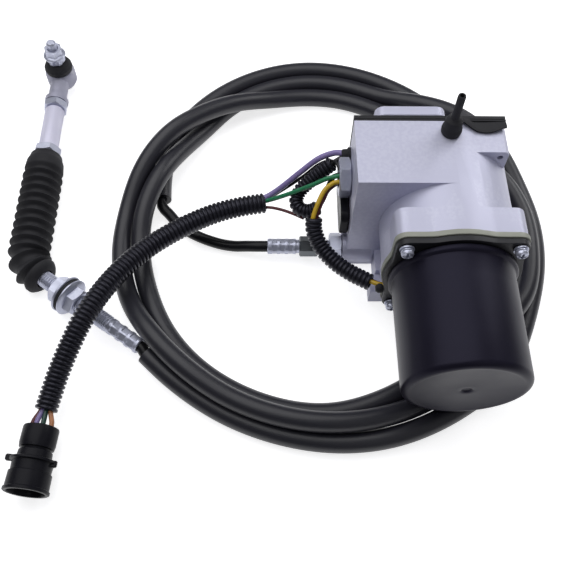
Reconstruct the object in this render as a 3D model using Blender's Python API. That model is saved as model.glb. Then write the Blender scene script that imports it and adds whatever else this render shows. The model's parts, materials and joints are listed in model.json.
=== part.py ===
"""Engine governor actuator: gear case, motor, push-pull cable and wiring loom.

Metres, +Z up. The origin lies on the underside of the gear case, straight below
the motor's axis and above the middle of the outlet on the case's left wall.
The motor points along -Y and the cable leaves the case along -X.
"""

import math

import bmesh
import bpy
import numpy as np
from mathutils import Matrix, Vector

# Gap kept between pieces that touch.
SEAT_GAP = 0.0003

# Gear case, seen along the motor's axis.
AXIS_HEIGHT = 0.0445
DRUM_RADIUS = 0.036
CASE_LEFT = 0.051
FRONT_Y = -0.0225
REAR_Y = 0.018
CASE_WALL = 0.0035
BASE_RIGHT = 0.022
BASE_SHOULDER_TURN = 57.91
CORNER_LUG_RIGHT = 0.030
CORNER_LUG_DEPTH = 0.019
CORNER_LUG_DROP = 0.0135
CORNER_LUG_STEP = 0.0022
DRUM_REACH = 0.014
FLANGE_THICKNESS = 0.0135
MOTOR_BORE_RADIUS = 0.0125
MOTOR_BOLT_OFFSET = 0.0282
FLANGE_HALF = 0.0332
FLANGE_CORNER = 0.0058
FLANGE_DISC_PROUD = 0.00002
SIDE_BOSS_WIDTH = 0.010
SIDE_BOSS_HEIGHT = 0.016
LEFT_FOOT_WIDTH = 0.011
RIGHT_FOOT_WIDTH = 0.006
FOOT_BITE = 0.0007
CASE_TOP = AXIS_HEIGHT + DRUM_RADIUS
FLANGE_DISC_RADIUS = DRUM_RADIUS + FLANGE_DISC_PROUD
BASE_HEIGHT = AXIS_HEIGHT - DRUM_RADIUS * math.sin(math.radians(BASE_SHOULDER_TURN))
FOOT_HEIGHT = AXIS_HEIGHT - FLANGE_HALF + FOOT_BITE
DRUM_FRONT_Y = FRONT_Y - DRUM_REACH
FLANGE_FRONT_Y = DRUM_FRONT_Y - FLANGE_THICKNESS

# Motor.
SPACER_THICKNESS = 0.003
END_PLATE_THICKNESS = 0.003
CAN_RADIUS = 0.032
CAN_LENGTH = 0.0635
CAN_WALL = 0.002
CAN_EDGE = 0.003
CAN_RIM_HEIGHT = 0.004
CAN_RIM_RADIUS = 0.0338
CAN_DIMPLE_RADIUS = 0.0025
ARMATURE_RADIUS = 0.0215
ARMATURE_LENGTH = 0.032
ARMATURE_SLOTS = 10
SHAFT_RADIUS = 0.0025
COMMUTATOR_RADIUS = 0.010
COMMUTATOR_LENGTH = 0.009
MAGNET_THICKNESS = 0.0065
MAGNET_ARC = 130.0
MAGNET_LENGTH = 0.040
BRUSH_WIDTH = 0.005
BRUSH_HEIGHT = 0.006
BRUSH_LENGTH = 0.009
BUSH_RADIUS = 0.007
BUSH_LENGTH = 0.006
AIR_GAP = 0.0008
RUNNING_GAP = 0.0004

# Gear train on shafts along Y.
PRESSURE_ANGLE = 25.0
MOTOR_TEETH = 12
WHEEL_TEETH = 40
FINE_MODULE = 0.0008
PINION_TEETH = 12
OUTPUT_TEETH = 36
COARSE_MODULE = 0.001
BACKLASH = 0.10
FINE_FACE = 0.006
COARSE_FACE = 0.006
OUTPUT_X = -0.022
OUTPUT_Z = 0.040
OUTPUT_SHAFT_RADIUS = 0.004
IDLER_PIN_RADIUS = 0.0025
IDLER_COLLAR_RADIUS = 0.0042
PIN_SEAT_DEPTH = 0.006
SHAFT_SEAT_DEPTH = 0.002
SHAFT_CLEARANCE = 0.0001
LEVER_THICKNESS = 0.0035
LEVER_HUB_RADIUS = 0.0075
LEVER_FORK_WIDTH = 0.0125
FORK_SLOT = 0.0054
FINE_PLANE_Y = 0.0095
COARSE_PLANE_Y = 0.0005

# Cable exit on the left wall, and the core behind it.
CABLE_Y = -0.0165
CABLE_Z = 0.0098
CABLE_BOSS_RADIUS = 0.0088
CABLE_BOSS_REACH = 0.0025
CORE_RADIUS = 0.0020
CORE_CLEARANCE = 0.0004
CROSSHEAD_WIDTH = 0.010
CROSSHEAD_RADIUS = 0.0030
CROSSHEAD_PIN_RADIUS = 0.0022
CORE_LENGTH = 0.056

# Cable ends.
NEAR_FITTING_DEPTH = 0.0075
NEAR_FITTING_LENGTH = 0.054
CORD_GAP = 0.0008
FERRULE_RADIUS = 0.0045
FERRULE_LENGTH = 0.022
FERRULE_HEX = 0.011
FERRULE_HEX_LENGTH = 0.010
THREAD_RADIUS = 0.005
NUT_HEX = 0.0145
NUT_THICKNESS = 0.007
WASHER_RADIUS = 0.011
WASHER_THICKNESS = 0.0016
CONDUIT_DIAMETER = 0.0066
HOSE_DIAMETER = 0.0112

# Far end of the cable, on the floor beside the ring.
FAR_FERRULE = Vector((-0.166, -0.0817, 0.0115))
FAR_ANGLE = 143.8
FAR_THREAD_LENGTH = 0.0535
WASHER_AT = 0.0520
ROD_X = -0.2345
ROD_Z = 0.0125
ROD_TUBE_RADIUS = 0.006
BOOT_TOP_Y = 0.047
ROD_TUBE_TOP_Y = 0.0847
BOOT_RADIUS = 0.0118
BOOT_ROOT_RADIUS = 0.0092
BOOT_WALL = 0.0014
BOOT_FOLDS = 12
BOOT_COLLAR_LENGTH = 0.0145
BOOT_GRIP = 0.0045
BOOT_BEND = [(0.0031, -0.0325), (0.0008, -0.0280), (0.0, -0.0228)]
JAM_HEX = 0.0135
JAM_THICKNESS = 0.005
ROD_END_EYE_Y = 0.1152
ROD_END_EYE_RADIUS = 0.0095
ROD_END_EYE_HEIGHT = 0.012
ROD_END_NECK_RADIUS = 0.0058
ROD_THREAD_RADIUS = 0.003
ROD_THREAD_REACH = 0.008
ROD_CORE_LENGTH = 0.040
BALL_RADIUS = 0.0055
STUD_RADIUS = 0.003
STUD_TOP_Z = 0.0415
STUD_HEX = 0.010
STUD_SKIRT_RADIUS = 0.0076
DUST_CAP_RADIUS = 0.0098
DUST_CAP_HEIGHT = 0.0068

# Rear of the case.
GASKET_THICKNESS = 0.001
COVER_THICKNESS = 0.0022
SENSOR_HOUSING_LEFT = -0.0392
SENSOR_HOUSING_RIGHT = -0.001
SENSOR_HOUSING_BOTTOM = 0.022
SENSOR_HOUSING_REACH = 0.0068
SENSOR_HOUSING_CORNER = 0.005
SENSOR_RADIUS = 0.011
SENSOR_LENGTH = 0.0048
SENSOR_INSET = 0.0031
SCREW_HEAD_RADIUS = 0.0035
SCREW_HEAD_HEIGHT = 0.0046
SCREW_SHANK_RADIUS = 0.0021

# Wiring outlet on the left wall.
OUTLET_Y = 0.0
OUTLET_Z = 0.031
OUTLET_WIDTH = 0.034
OUTLET_HEIGHT = 0.019
OUTLET_THICKNESS = 0.0048
OUTLET_CORNER = 0.005
GLAND_Y = 0.002
GLAND_Z = 0.052
GLAND_HEX = 0.0195
GLAND_THICKNESS = 0.0065
GLAND_BORE = 0.0055
GROMMET_STAND_OFF = 0.001
GROMMET_SET_BACK = 0.0035
GROMMET_DROP = 0.0175
GROMMET_X = -FLANGE_HALF - GROMMET_STAND_OFF
GROMMET_Y = FLANGE_FRONT_Y - GROMMET_SET_BACK
GROMMET_Z = AXIS_HEIGHT - GROMMET_DROP
GROMMET_RADIUS = 0.0028

# Rubber vent nipple on the top.
VENT_X = -0.0005
VENT_Y = 0.0105
VENT_BASE_RADIUS = 0.0052
VENT_BASE_HEIGHT = 0.0108
VENT_STEM_RADIUS = 0.0024
VENT_STEM_LENGTH = 0.0165
VENT_BORE_RADIUS = 0.0012

# Looms and their plug.
LOOM_DIAMETER = 0.0118
MOTOR_LOOM_DIAMETER = 0.0095
SENSOR_LOOM_DIAMETER = 0.0085
WIRE_RUN = 0.0035
TAIL_DIAMETER = 0.007
PLUG_START = Vector((-0.2120, -0.1273, 0.0125))
PLUG_END = Vector((-0.2153, -0.1604, 0.0121))
PLUG_REAR_RADIUS = 0.0091
PLUG_WAIST_RADIUS = 0.0087
PLUG_SHELL_RADIUS = 0.0109
PLUG_SOCKET_RADIUS = 0.0092
PLUG_SOCKET_DEPTH = 0.0115
PIN_RADIUS = 0.0010
PIN_CIRCLE = 0.0045
PIN_COUNT = 4
PIN_LENGTH = 0.0065

RING_CENTRE = Vector((-0.061, -0.002, 0.0))
HOSE_STATIONS_PER_TURN = 27
HOSE_STATION_PHASE = 2.0
HOSE_CROSSING_STATION = 316.0

# The hose's route round its ring: angle in degrees, radius and height in millimetres.
HOSE_ROUTE = [
    (168, 103, 5.9), (160, 108.5, 5.9), (154, 113, 5.9), (147, 117, 5.9), (131, 123.4, 5.9),
    (122, 126.5, 5.9), (114, 128.5, 5.9), (105, 130.2, 5.9), (95, 130.6, 5.9),
    (85, 128.8, 5.9), (72, 125, 5.9), (55, 119.4, 5.9), (40, 114.8, 5.9), (20, 112, 5.9),
    (0, 111.3, 5.9), (-18, 112, 5.9), (-32, 115.2, 5.9), (-42, 119.6, 5.9), (-50, 120, 5.9),
    (-62, 119.9, 5.9), (-70, 121.3, 8), (-78, 122.8, 12), (-86, 124, 14.5),
    (-95, 124.4, 14.9), (-115, 124, 15.3), (-128, 124, 18.6), (-138, 124, 20.6),
    (-147, 124.3, 17), (-155, 124.5, 10), (-163, 124.4, 6.2), (-172, 123.8, 5.9),
    (-182, 122, 6.4), (-190, 120.3, 10), (-198, 118, 18.5), (-205, 115.4, 23.2),
    (-212, 112.8, 24.6), (-220, 110.2, 23.2), (-230, 108.2, 19.8), (-238, 107, 16.6),
    (-246, 106, 12.8), (-256, 106.4, 6.2), (-265, 106, 5.9), (-278, 103.9, 5.9),
    (-292, 100.1, 5.9), (-304, 98.7, 5.9), (-314, 98.4, 5.9), (-324, 100.2, 8),
    (-330, 102.4, 13.4), (-336, 106, 17.6), (-348, 113, 17.8), (-360, 117.4, 16.4),
    (-374, 118.6, 17.1), (-388, 120.8, 17.4), (-394, 119.6, 17.9), (-398, 114.8, 17.9),
    (-400.5, 110, 13.6), (-404, 105.8, 9.2), (-408, 104, 6.6), (-414, 104.2, 5.9),
    (-422, 107.5, 5.9), (-430, 109.5, 5.9), (-438, 112.2, 5.9), (-446, 115.2, 5.9),
    (-455, 117.2, 5.9), (-465, 117.4, 5.9), (-475, 117.3, 5.9), (-488, 117, 5.9),
    (-498, 116.3, 5.9), (-507, 115, 5.9), (-515, 113.3, 5.9), (-523, 112.6, 5.9),
    (-532, 112.2, 6.3), (-540, 111.1, 10), (-545, 110, 14.8), (-550, 108.2, 18.4),
    (-556, 106, 18.8), (-562, 105, 18.2), (-568, 104.7, 15.8), (-573, 105, 11.6),
    (-580, 106.5, 7), (-590, 111, 5.9), (-598, 114.5, 5.9), (-606, 117, 5.9),
    (-620, 118.8, 5.9), (-630, 118, 5.9), (-640, 115.8, 5.9), (-650, 112.1, 7),
    (-657, 110, 10.4), (-664, 111.8, 15), (-673, 114.8, 19), (-681, 119, 18.6),
    (-690, 123.6, 13.8), (-698, 124.4, 8), (-708, 124.6, 5.9), (-720, 125, 5.9),
    (-734, 125.3, 5.9), (-742, 125.4, 5.9), (-754, 128, 5.9), (-762, 131.2, 5.9),
    (-770, 131.9, 5.9), (-782, 131.9, 5.9), (-790, 132.4, 5.9), (-800, 132.8, 5.9),
    (-810, 132.2, 5.9), (-822, 131, 5.9), (-835, 130.2, 5.9), (-845, 130, 7),
    (-853, 130.8, 9), (-860.4, 131.6, 10.7)]

# Routes of the short runs, in millimetres. The wires run on, thinner, past a loom's sleeve.
CONDUIT_ROUTE = [
    (-110, -15.2, 7.8), (-116.5, -13.9, 5.6), (-123.7, -11.9, 4.2), (-130.3, -9.5, 3.7), (-137.7, -6.3, 3.6),
    (-145.1, -2.1, 3.7), (-152, 3.7, 4.0), (-156.7, 9.3, 4.6)]
LOOM_ROUTE = [
    (-98.5, 4.5, 24), (-113.1, 1.6, 24), (-127.5, -3, 24), (-141.5, -10.4, 24.4),
    (-155.2, -19.9, 25), (-167.2, -30.5, 26), (-178, -44, 27.6), (-186.9, -58.5, 28.6),
    (-194.6, -73, 27), (-200.8, -86.3, 22.6), (-205.9, -99.2, 18), (-209, -110, 15),
    (-211, -118.6, 13.6)]
LOOM_TO_GLAND = [(-56.6, 2, 55.4), (-60.5, 2, 55.2), (-70, 2.2, 48.2), (-84, 3.5, 35.8)]
LOOM_TO_PLUG = [(-211.6, -124, 12.8), (-212.26, -129.94, 12.47)]
MOTOR_LOOM_ROUTE = [
    (-71.2, -16.4, 40), (-71, -21.5, 34.6), (-67, -28.8, 29), (-59.6, -36.8, 26.4),
    (-51.6, -43.2, 26), (-44.5, -48.2, 26.6)]
MOTOR_TO_GLAND = [(-56.6, -0.9, 50.3), (-60.5, -1.4, 50), (-66, -6, 47.5)]
MOTOR_TO_GROMMET = [(-43.4, -51.2, 26.9), (-41, -53.4, 27), (-38.3, -53.5, 27)]
SENSOR_LOOM_ROUTE = [
    (-63, 13.6, 51), (-65.4, 12, 45.4), (-69.6, 9.2, 39.8), (-75.2, 4.6, 34.6),
    (-78.8, -0.6, 31.4), (-76.6, -5.8, 30.6), (-70.6, -7.4, 32), (-67.4, -6.6, 35.2)]
SENSOR_TO_WALL = [(-51.6, 15, 56.5), (-57, 15, 55)]
SENSOR_TO_GLAND = [(-65.5, -3.5, 40), (-62.5, 1.5, 46.5), (-60, 4.4, 49.8), (-56.6, 4.9, 50.3)]

# Colour, roughness and metallic value of each finish.
FINISHES = {
    "cast_aluminium": ((0.62, 0.62, 0.66, 1.0), 0.45, 0.9),
    "black_enamel": ((0.012, 0.012, 0.016, 1.0), 0.3, 0.0),
    "cream_spacer": ((0.50, 0.50, 0.44, 1.0), 0.6, 0.0),
    "zinc": ((0.66, 0.68, 0.72, 1.0), 0.3, 1.0),
    "steel": ((0.42, 0.43, 0.45, 1.0), 0.35, 1.0),
    "copper": ((0.72, 0.36, 0.2, 1.0), 0.4, 1.0),
    "brass": ((0.72, 0.55, 0.25, 1.0), 0.35, 1.0),
    "ferrite": ((0.06, 0.06, 0.065, 1.0), 0.7, 0.0),
    "phenolic": ((0.16, 0.08, 0.04, 1.0), 0.6, 0.0),
    "carbon": ((0.03, 0.03, 0.03, 1.0), 0.8, 0.0),
    "rubber": ((0.012, 0.012, 0.014, 1.0), 0.55, 0.0),
    "hose": ((0.020, 0.021, 0.028, 1.0), 0.4, 0.0),
    "black_plastic": ((0.016, 0.016, 0.02, 1.0), 0.45, 0.0),
}


def clear_scene():
    """Removes every object that the file already holds."""
    for thing in list(bpy.data.objects):
        bpy.data.objects.remove(thing, do_unlink=True)


def finish(name):
    """Returns the named material, made once."""
    material = bpy.data.materials.get(name)
    if material is None:
        colour, roughness, metallic = FINISHES[name]
        material = bpy.data.materials.new(name)
        material.use_nodes = True
        shader = material.node_tree.nodes["Principled BSDF"]
        shader.inputs["Base Color"].default_value = colour
        shader.inputs["Roughness"].default_value = roughness
        shader.inputs["Metallic"].default_value = metallic
    return material


def add_object(name, mesh, material_name, pivot=None):
    """Links a mesh, given in world places, as an object whose origin is its pivot."""
    thing = bpy.data.objects.new(name, mesh)
    bpy.context.scene.collection.objects.link(thing)
    if pivot is not None:
        mesh.transform(Matrix.Translation(-Vector(pivot)))
        thing.location = pivot
    mesh.materials.append(finish(material_name))
    mesh.shade_smooth()
    mesh.set_sharp_from_angle(angle=math.radians(35))
    return thing


def mesh_from(build, name):
    """Runs build on a new bmesh and returns a mesh with its faces pointing out."""
    shape = bmesh.new()
    build(shape)
    bmesh.ops.recalc_face_normals(shape, faces=shape.faces)
    mesh = bpy.data.meshes.new(name)
    shape.to_mesh(mesh)
    shape.free()
    return mesh


def axis_frame(start, direction):
    """Returns a matrix that takes +Z to direction and the origin to start."""
    turn = Vector((0, 0, 1)).rotation_difference(Vector(direction).normalized())
    return Matrix.Translation(Vector(start)) @ turn.to_matrix().to_4x4()


def revolved_mesh(name, profile, start, direction, segments, closed=False):
    """Turns a profile of (radius, height) points round an axis from start.

    A closed profile makes a ring with a bore. An open one starts and ends on the axis.
    """
    place = axis_frame(start, direction)

    def build(shape):
        rings = []
        for radius, height in profile:
            if radius < 1e-7:
                rings.append([shape.verts.new(place @ Vector((0, 0, height)))])
                continue
            ring = []
            for index in range(segments):
                angle = 2 * math.pi * index / segments
                point = Vector((radius * math.cos(angle), radius * math.sin(angle), height))
                ring.append(shape.verts.new(place @ point))
            rings.append(ring)
        pairs = list(zip(rings[:-1], rings[1:]))
        if closed:
            pairs.append((rings[-1], rings[0]))
        for lower, upper in pairs:
            for index in range(segments):
                after = (index + 1) % segments
                corners = [lower[index % len(lower)], lower[after % len(lower)],
                           upper[after % len(upper)], upper[index % len(upper)]]
                kept = list(dict.fromkeys(corners))
                if len(kept) >= 3:
                    shape.faces.new(kept)
    return mesh_from(build, name)


def revolved(name, material, profile, start, direction, segments=24, closed=False, pivot=None):
    """Adds a turned piece."""
    mesh = revolved_mesh(name, profile, start, direction, segments, closed)
    return add_object(name, mesh, material, pivot)


def prism_mesh(name, outline, near_y, far_y):
    """Extrudes an outline of (x, z) points along Y between two places."""
    def build(shape):
        corners = [shape.verts.new((x, near_y, z)) for x, z in outline]
        face = shape.faces.new(corners)
        grown = bmesh.ops.extrude_face_region(shape, geom=[face])
        moved = [item for item in grown["geom"] if isinstance(item, bmesh.types.BMVert)]
        bmesh.ops.translate(shape, verts=moved, vec=(0, far_y - near_y, 0))
    return mesh_from(build, name)


def prism(name, material, outline, near_y, far_y, pivot=None):
    """Adds a piece with one outline all along Y."""
    return add_object(name, prism_mesh(name, outline, near_y, far_y), material, pivot)


def block_mesh(name, low, high):
    """Returns a box between two corners."""
    outline = [(low[0], low[2]), (high[0], low[2]), (high[0], high[2]), (low[0], high[2])]
    return prism_mesh(name, outline, low[1], high[1])


def hex_profile(across_flats, turn=0.0):
    """Returns the six corners of a hexagon."""
    reach = across_flats / math.sqrt(3)
    return [(reach * math.cos(math.radians(60 * i + turn)), reach * math.sin(math.radians(60 * i + turn)))
            for i in range(6)]


def hex_nut(name, material, across_flats, height, bore, start, direction, turn=0.0, pivot=None):
    """Adds a hexagon nut with chamfered corners and a round bore; height starts at start."""
    place = axis_frame(start, direction)
    steps = 24
    chamfer = across_flats * 0.06

    def ring_at(shape, scale, level, round_ring):
        ring = []
        for index in range(steps):
            angle = math.radians(360 * index / steps)
            if round_ring is None:
                sector = math.radians(60)
                local = (angle % sector) - sector / 2
                radius = across_flats / 2 / math.cos(local) * scale
            else:
                radius = round_ring
            spin = angle + math.radians(turn)
            point = Vector((radius * math.cos(spin), radius * math.sin(spin), level))
            ring.append(shape.verts.new(place @ point))
        return ring

    def build(shape):
        rings = [
            ring_at(shape, 1, 0, bore),
            ring_at(shape, 1, 0, across_flats / 2 * 0.97),
            ring_at(shape, 1, chamfer, None),
            ring_at(shape, 1, height - chamfer, None),
            ring_at(shape, 1, height, across_flats / 2 * 0.97),
            ring_at(shape, 1, height, bore)]
        for lower, upper in zip(rings, rings[1:] + rings[:1]):
            for index in range(steps):
                after = (index + 1) % steps
                shape.faces.new((lower[index], lower[after], upper[after], upper[index]))
    return add_object(name, mesh_from(build, name), material, pivot)


def cutter_from(name, mesh):
    """Links a mesh as a guide for a Boolean, left out of the model."""
    guide = bpy.data.objects.new(name, mesh)
    bpy.context.scene.collection.objects.link(guide)
    guide.hide_render = True
    guide.display_type = "WIRE"
    return guide


def combine(target, operation, name, mesh):
    """Joins a mesh to the target, or cuts it from the target, with an exact Boolean."""
    modifier = target.modifiers.new(name, "BOOLEAN")
    modifier.operation = operation
    modifier.solver = "EXACT"
    modifier.object = cutter_from(name, mesh)


def arc_points(centre, radius, start_angle, end_angle, steps):
    """Returns points along an arc in a plane, both ends among them."""
    points = []
    for index in range(steps + 1):
        angle = math.radians(start_angle + (end_angle - start_angle) * index / steps)
        points.append((centre[0] + radius * math.cos(angle), centre[1] + radius * math.sin(angle)))
    return points


def rounded_rectangle(left, bottom, right, top, corner, steps=4):
    """Returns the outline of a rectangle with round corners."""
    centres = [((right - corner, bottom + corner), -90), ((right - corner, top - corner), 0),
               ((left + corner, top - corner), 90), ((left + corner, bottom + corner), 180)]
    outline = []
    for centre, angle in centres:
        outline += arc_points(centre, corner, angle, angle + 90, steps)
    return outline


def flange_outline(grow=0.0):
    """Returns a disc whose four sides run into rounded ears at the motor's bolts."""
    disc = FLANGE_DISC_RADIUS + grow
    half = FLANGE_HALF + grow
    corner = FLANGE_CORNER + grow
    outline = []
    for index in range(180):
        angle = math.radians(2 * index)
        across, up = abs(math.cos(angle)), abs(math.sin(angle))
        square = half / max(across, up)
        if square * min(across, up) > half - corner:
            along = (across + up) * (half - corner)
            square = along + math.sqrt(along * along - 2 * (half - corner) ** 2 + corner * corner)
        radius = (disc ** 60 + square ** 60) ** (1 / 60)
        outline.append((radius * math.cos(angle), AXIS_HEIGHT + radius * math.sin(angle)))
    return outline


def thinned(outline, angle_limit=2.2):
    """Drops points of an outline that lie on nearly straight runs."""
    kept = []
    count = len(outline)
    for index in range(count):
        before = Vector(outline[index - 1])
        here = Vector(outline[index])
        after = Vector(outline[(index + 1) % count])
        bend = abs(math.degrees((here - before).angle(after - here, 0.0)))
        if bend > angle_limit or index % 4 == 0:
            kept.append(outline[index])
    return kept


def involute_outline(teeth, module, centre, tooth_angle):
    """Returns a spur gear's outline as (x, z) points, one tooth at tooth_angle in degrees."""
    pitch_radius = module * teeth / 2
    base_radius = pitch_radius * math.cos(math.radians(PRESSURE_ANGLE))
    tip_radius = pitch_radius + 0.9 * module
    root_radius = pitch_radius - 1.2 * module

    def involute(radius):
        tangent = math.sqrt(max(radius * radius / base_radius ** 2 - 1, 0.0))
        return tangent - math.atan(tangent)

    half_tooth = (math.pi / 2 - BACKLASH) / teeth + involute(pitch_radius)
    flank_start = max(base_radius, root_radius)
    flank = [flank_start + (tip_radius - flank_start) * step / 2 for step in range(3)]
    foot = half_tooth - involute(flank_start)
    root = foot + 0.3 * (math.pi / teeth - foot)
    outline = []
    for index in range(teeth):
        middle = math.radians(tooth_angle) + 2 * math.pi * index / teeth
        spots = [(root_radius, -root)]
        spots += [(radius, -half_tooth + involute(radius)) for radius in flank]
        spots += [(radius, half_tooth - involute(radius)) for radius in reversed(flank)]
        spots += [(root_radius, root)]
        for radius, offset in spots:
            outline.append((centre[0] + radius * math.cos(middle + offset),
                            centre[1] + radius * math.sin(middle + offset)))
    return outline


def gear_centres():
    """Returns the motor's, the idler's and the output shaft's places as (x, z) points."""
    motor = Vector((0.0, AXIS_HEIGHT))
    output = Vector((OUTPUT_X, OUTPUT_Z))
    near = FINE_MODULE * (MOTOR_TEETH + WHEEL_TEETH) / 2
    far = COARSE_MODULE * (PINION_TEETH + OUTPUT_TEETH) / 2
    line = output - motor
    along = (near * near - far * far + line.length_squared) / (2 * line.length)
    rise = math.sqrt(near * near - along * along)
    ahead = line.normalized()
    idler = motor + ahead * along + Vector((-ahead.y, ahead.x)) * rise
    return motor, idler, output


def line_angle(start, end):
    """Returns the direction from one point to another in degrees."""
    return math.degrees(math.atan2(end.y - start.y, end.x - start.x))


def case_outline(inset=0.0):
    """Returns the case's outline: a square left half and a round right half."""
    centre = (0.0, AXIS_HEIGHT)
    radius = DRUM_RADIUS - inset
    left = -CASE_LEFT + inset
    outline = [(left, inset), (left, CASE_TOP - inset)]
    foot_x = BASE_RIGHT - inset
    turn = math.degrees(math.asin(min((AXIS_HEIGHT - BASE_HEIGHT - inset) / radius, 1.0)))
    outline += arc_points(centre, radius, 90, -turn, 14)
    outline += [(foot_x, BASE_HEIGHT), (foot_x, inset)]
    return outline


def corner_lug(name, side):
    """Returns the solid that fills the round case's upper or lower right corner."""
    top = AXIS_HEIGHT + side * (DRUM_RADIUS - CORNER_LUG_STEP)
    edge = top - side * CORNER_LUG_DROP
    right = CORNER_LUG_RIGHT
    outline = [(right - 0.019, top), (right - 0.002, top), (right, top - side * 0.002), (right, edge),
               (right - 0.004, edge - side * 0.004), (right - 0.018, top - side * 0.007)]
    return prism_mesh(name, outline, REAR_Y - CORNER_LUG_DEPTH, REAR_Y)


def cover_screw_places():
    """Returns the four cover screws' places as (x, z) points."""
    inset = 0.0058
    right = CORNER_LUG_RIGHT - 0.0042
    left = -CASE_LEFT + inset
    rise = DRUM_RADIUS - CORNER_LUG_STEP - 0.0044
    return [(left, CASE_TOP - inset), (right, AXIS_HEIGHT + rise), (left, inset), (right, AXIS_HEIGHT - rise)]


def cylinder_mesh(name, radius, start, direction, length, segments=20):
    """Returns a plain cylinder."""
    profile = [(0, 0), (radius, 0), (radius, length), (0, length)]
    return revolved_mesh(name, profile, start, direction, segments)


def add_case():
    """Adds the cast gear case: box, drum, motor flange, feet, bosses and bores."""
    case = prism("gear_case", "cast_aluminium", case_outline(), FRONT_Y, REAR_Y)
    overlap = 0.001
    drum = cylinder_mesh("case_drum", DRUM_RADIUS - 0.00002, (0, DRUM_FRONT_Y, AXIS_HEIGHT), (0, 1, 0),
                         DRUM_REACH + CASE_WALL, 56)
    combine(case, "UNION", "case_drum", drum)
    flange = prism_mesh("case_flange", thinned(flange_outline()),
                        FLANGE_FRONT_Y, DRUM_FRONT_Y + overlap)
    combine(case, "UNION", "case_flange", flange)
    for side, name in ((1, "case_lug_top"), (-1, "case_lug_bottom")):
        combine(case, "UNION", name, corner_lug(name, side))
    boss_right = -MOTOR_BOLT_OFFSET + 0.003
    side_boss = block_mesh("case_side_boss", (boss_right - SIDE_BOSS_WIDTH, DRUM_FRONT_Y + 0.0002, 0.0001),
                           (boss_right, FRONT_Y + overlap, SIDE_BOSS_HEIGHT))
    combine(case, "UNION", "case_side_boss", side_boss)
    for side, width, name in ((-1, LEFT_FOOT_WIDTH, "case_foot_left"), (1, RIGHT_FOOT_WIDTH, "case_foot_right")):
        inner = side * (MOTOR_BOLT_OFFSET - 0.0005)
        outer = inner + side * width
        foot = block_mesh(name, (min(inner, outer), FLANGE_FRONT_Y + 0.002, 0),
                          (max(inner, outer), DRUM_FRONT_Y, FOOT_HEIGHT))
        combine(case, "UNION", name, foot)
    cable_boss = cylinder_mesh("case_cable_boss", CABLE_BOSS_RADIUS, (-CASE_LEFT - CABLE_BOSS_REACH, CABLE_Y, CABLE_Z),
                               (1, 0, 0), 0.017, 28)
    combine(case, "UNION", "case_cable_boss", cable_boss)
    inside = prism_mesh("case_cavity", case_outline(CASE_WALL), FRONT_Y + CASE_WALL, REAR_Y + overlap)
    combine(case, "DIFFERENCE", "case_cavity", inside)
    bore = cylinder_mesh("case_motor_bore", MOTOR_BORE_RADIUS, (0, FLANGE_FRONT_Y - overlap, AXIS_HEIGHT),
                         (0, 1, 0), REAR_Y - FLANGE_FRONT_Y - CASE_WALL, 32)
    combine(case, "DIFFERENCE", "case_motor_bore", bore)
    core_bore = cylinder_mesh("case_cable_bore", FERRULE_RADIUS, (-CASE_LEFT - CABLE_BOSS_REACH - overlap, CABLE_Y, CABLE_Z),
                              (1, 0, 0), 0.012, 20)
    combine(case, "DIFFERENCE", "case_cable_bore", core_bore)
    core_room = cylinder_mesh("case_core_room", CROSSHEAD_RADIUS + 0.001, (-CASE_LEFT + 0.004, CABLE_Y, CABLE_Z),
                              (1, 0, 0), 0.05, 20)
    combine(case, "DIFFERENCE", "case_core_room", core_room)
    gland = cylinder_mesh("case_gland_hole", GLAND_BORE, (-CASE_LEFT - overlap, GLAND_Y, GLAND_Z), (1, 0, 0), 0.012, 20)
    combine(case, "DIFFERENCE", "case_gland_hole", gland)
    _, idler, output = gear_centres()
    inner_wall = FRONT_Y + CASE_WALL
    pin_seat = cylinder_mesh("case_pin_seat", IDLER_PIN_RADIUS + SEAT_GAP, (idler.x, inner_wall - PIN_SEAT_DEPTH, idler.y),
                             (0, 1, 0), PIN_SEAT_DEPTH + overlap, 16)
    combine(case, "DIFFERENCE", "case_pin_seat", pin_seat)
    shaft_seat = cylinder_mesh("case_shaft_seat", OUTPUT_SHAFT_RADIUS + SHAFT_CLEARANCE,
                               (output.x, inner_wall - SHAFT_SEAT_DEPTH, output.y), (0, 1, 0), SHAFT_SEAT_DEPTH + overlap, 20)
    combine(case, "DIFFERENCE", "case_shaft_seat", shaft_seat)
    for index, (x, z) in enumerate(motor_bolt_places()):
        hole = cylinder_mesh(f"case_bolt_hole_{index + 1}", SCREW_SHANK_RADIUS + SEAT_GAP,
                             (x, FLANGE_FRONT_Y - overlap, z), (0, 1, 0), 0.011, 12)
        combine(case, "DIFFERENCE", f"case_bolt_hole_{index + 1}", hole)
    for index, (x, z) in enumerate(cover_screw_places()):
        through = index == 1
        depth = CORNER_LUG_DEPTH + 2 * overlap if through else 0.010
        hole = cylinder_mesh(f"case_cover_hole_{index + 1}", 0.0016, (x, REAR_Y + overlap, z), (0, -1, 0), depth, 10)
        combine(case, "DIFFERENCE", f"case_cover_hole_{index + 1}", hole)
    return case


def motor_bolt_places():
    """Returns the four motor screws' places as (x, z) points."""
    reach = MOTOR_BOLT_OFFSET
    return [(-reach, AXIS_HEIGHT + reach), (reach, AXIS_HEIGHT + reach),
            (reach, AXIS_HEIGHT - reach), (-reach, AXIS_HEIGHT - reach)]


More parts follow.
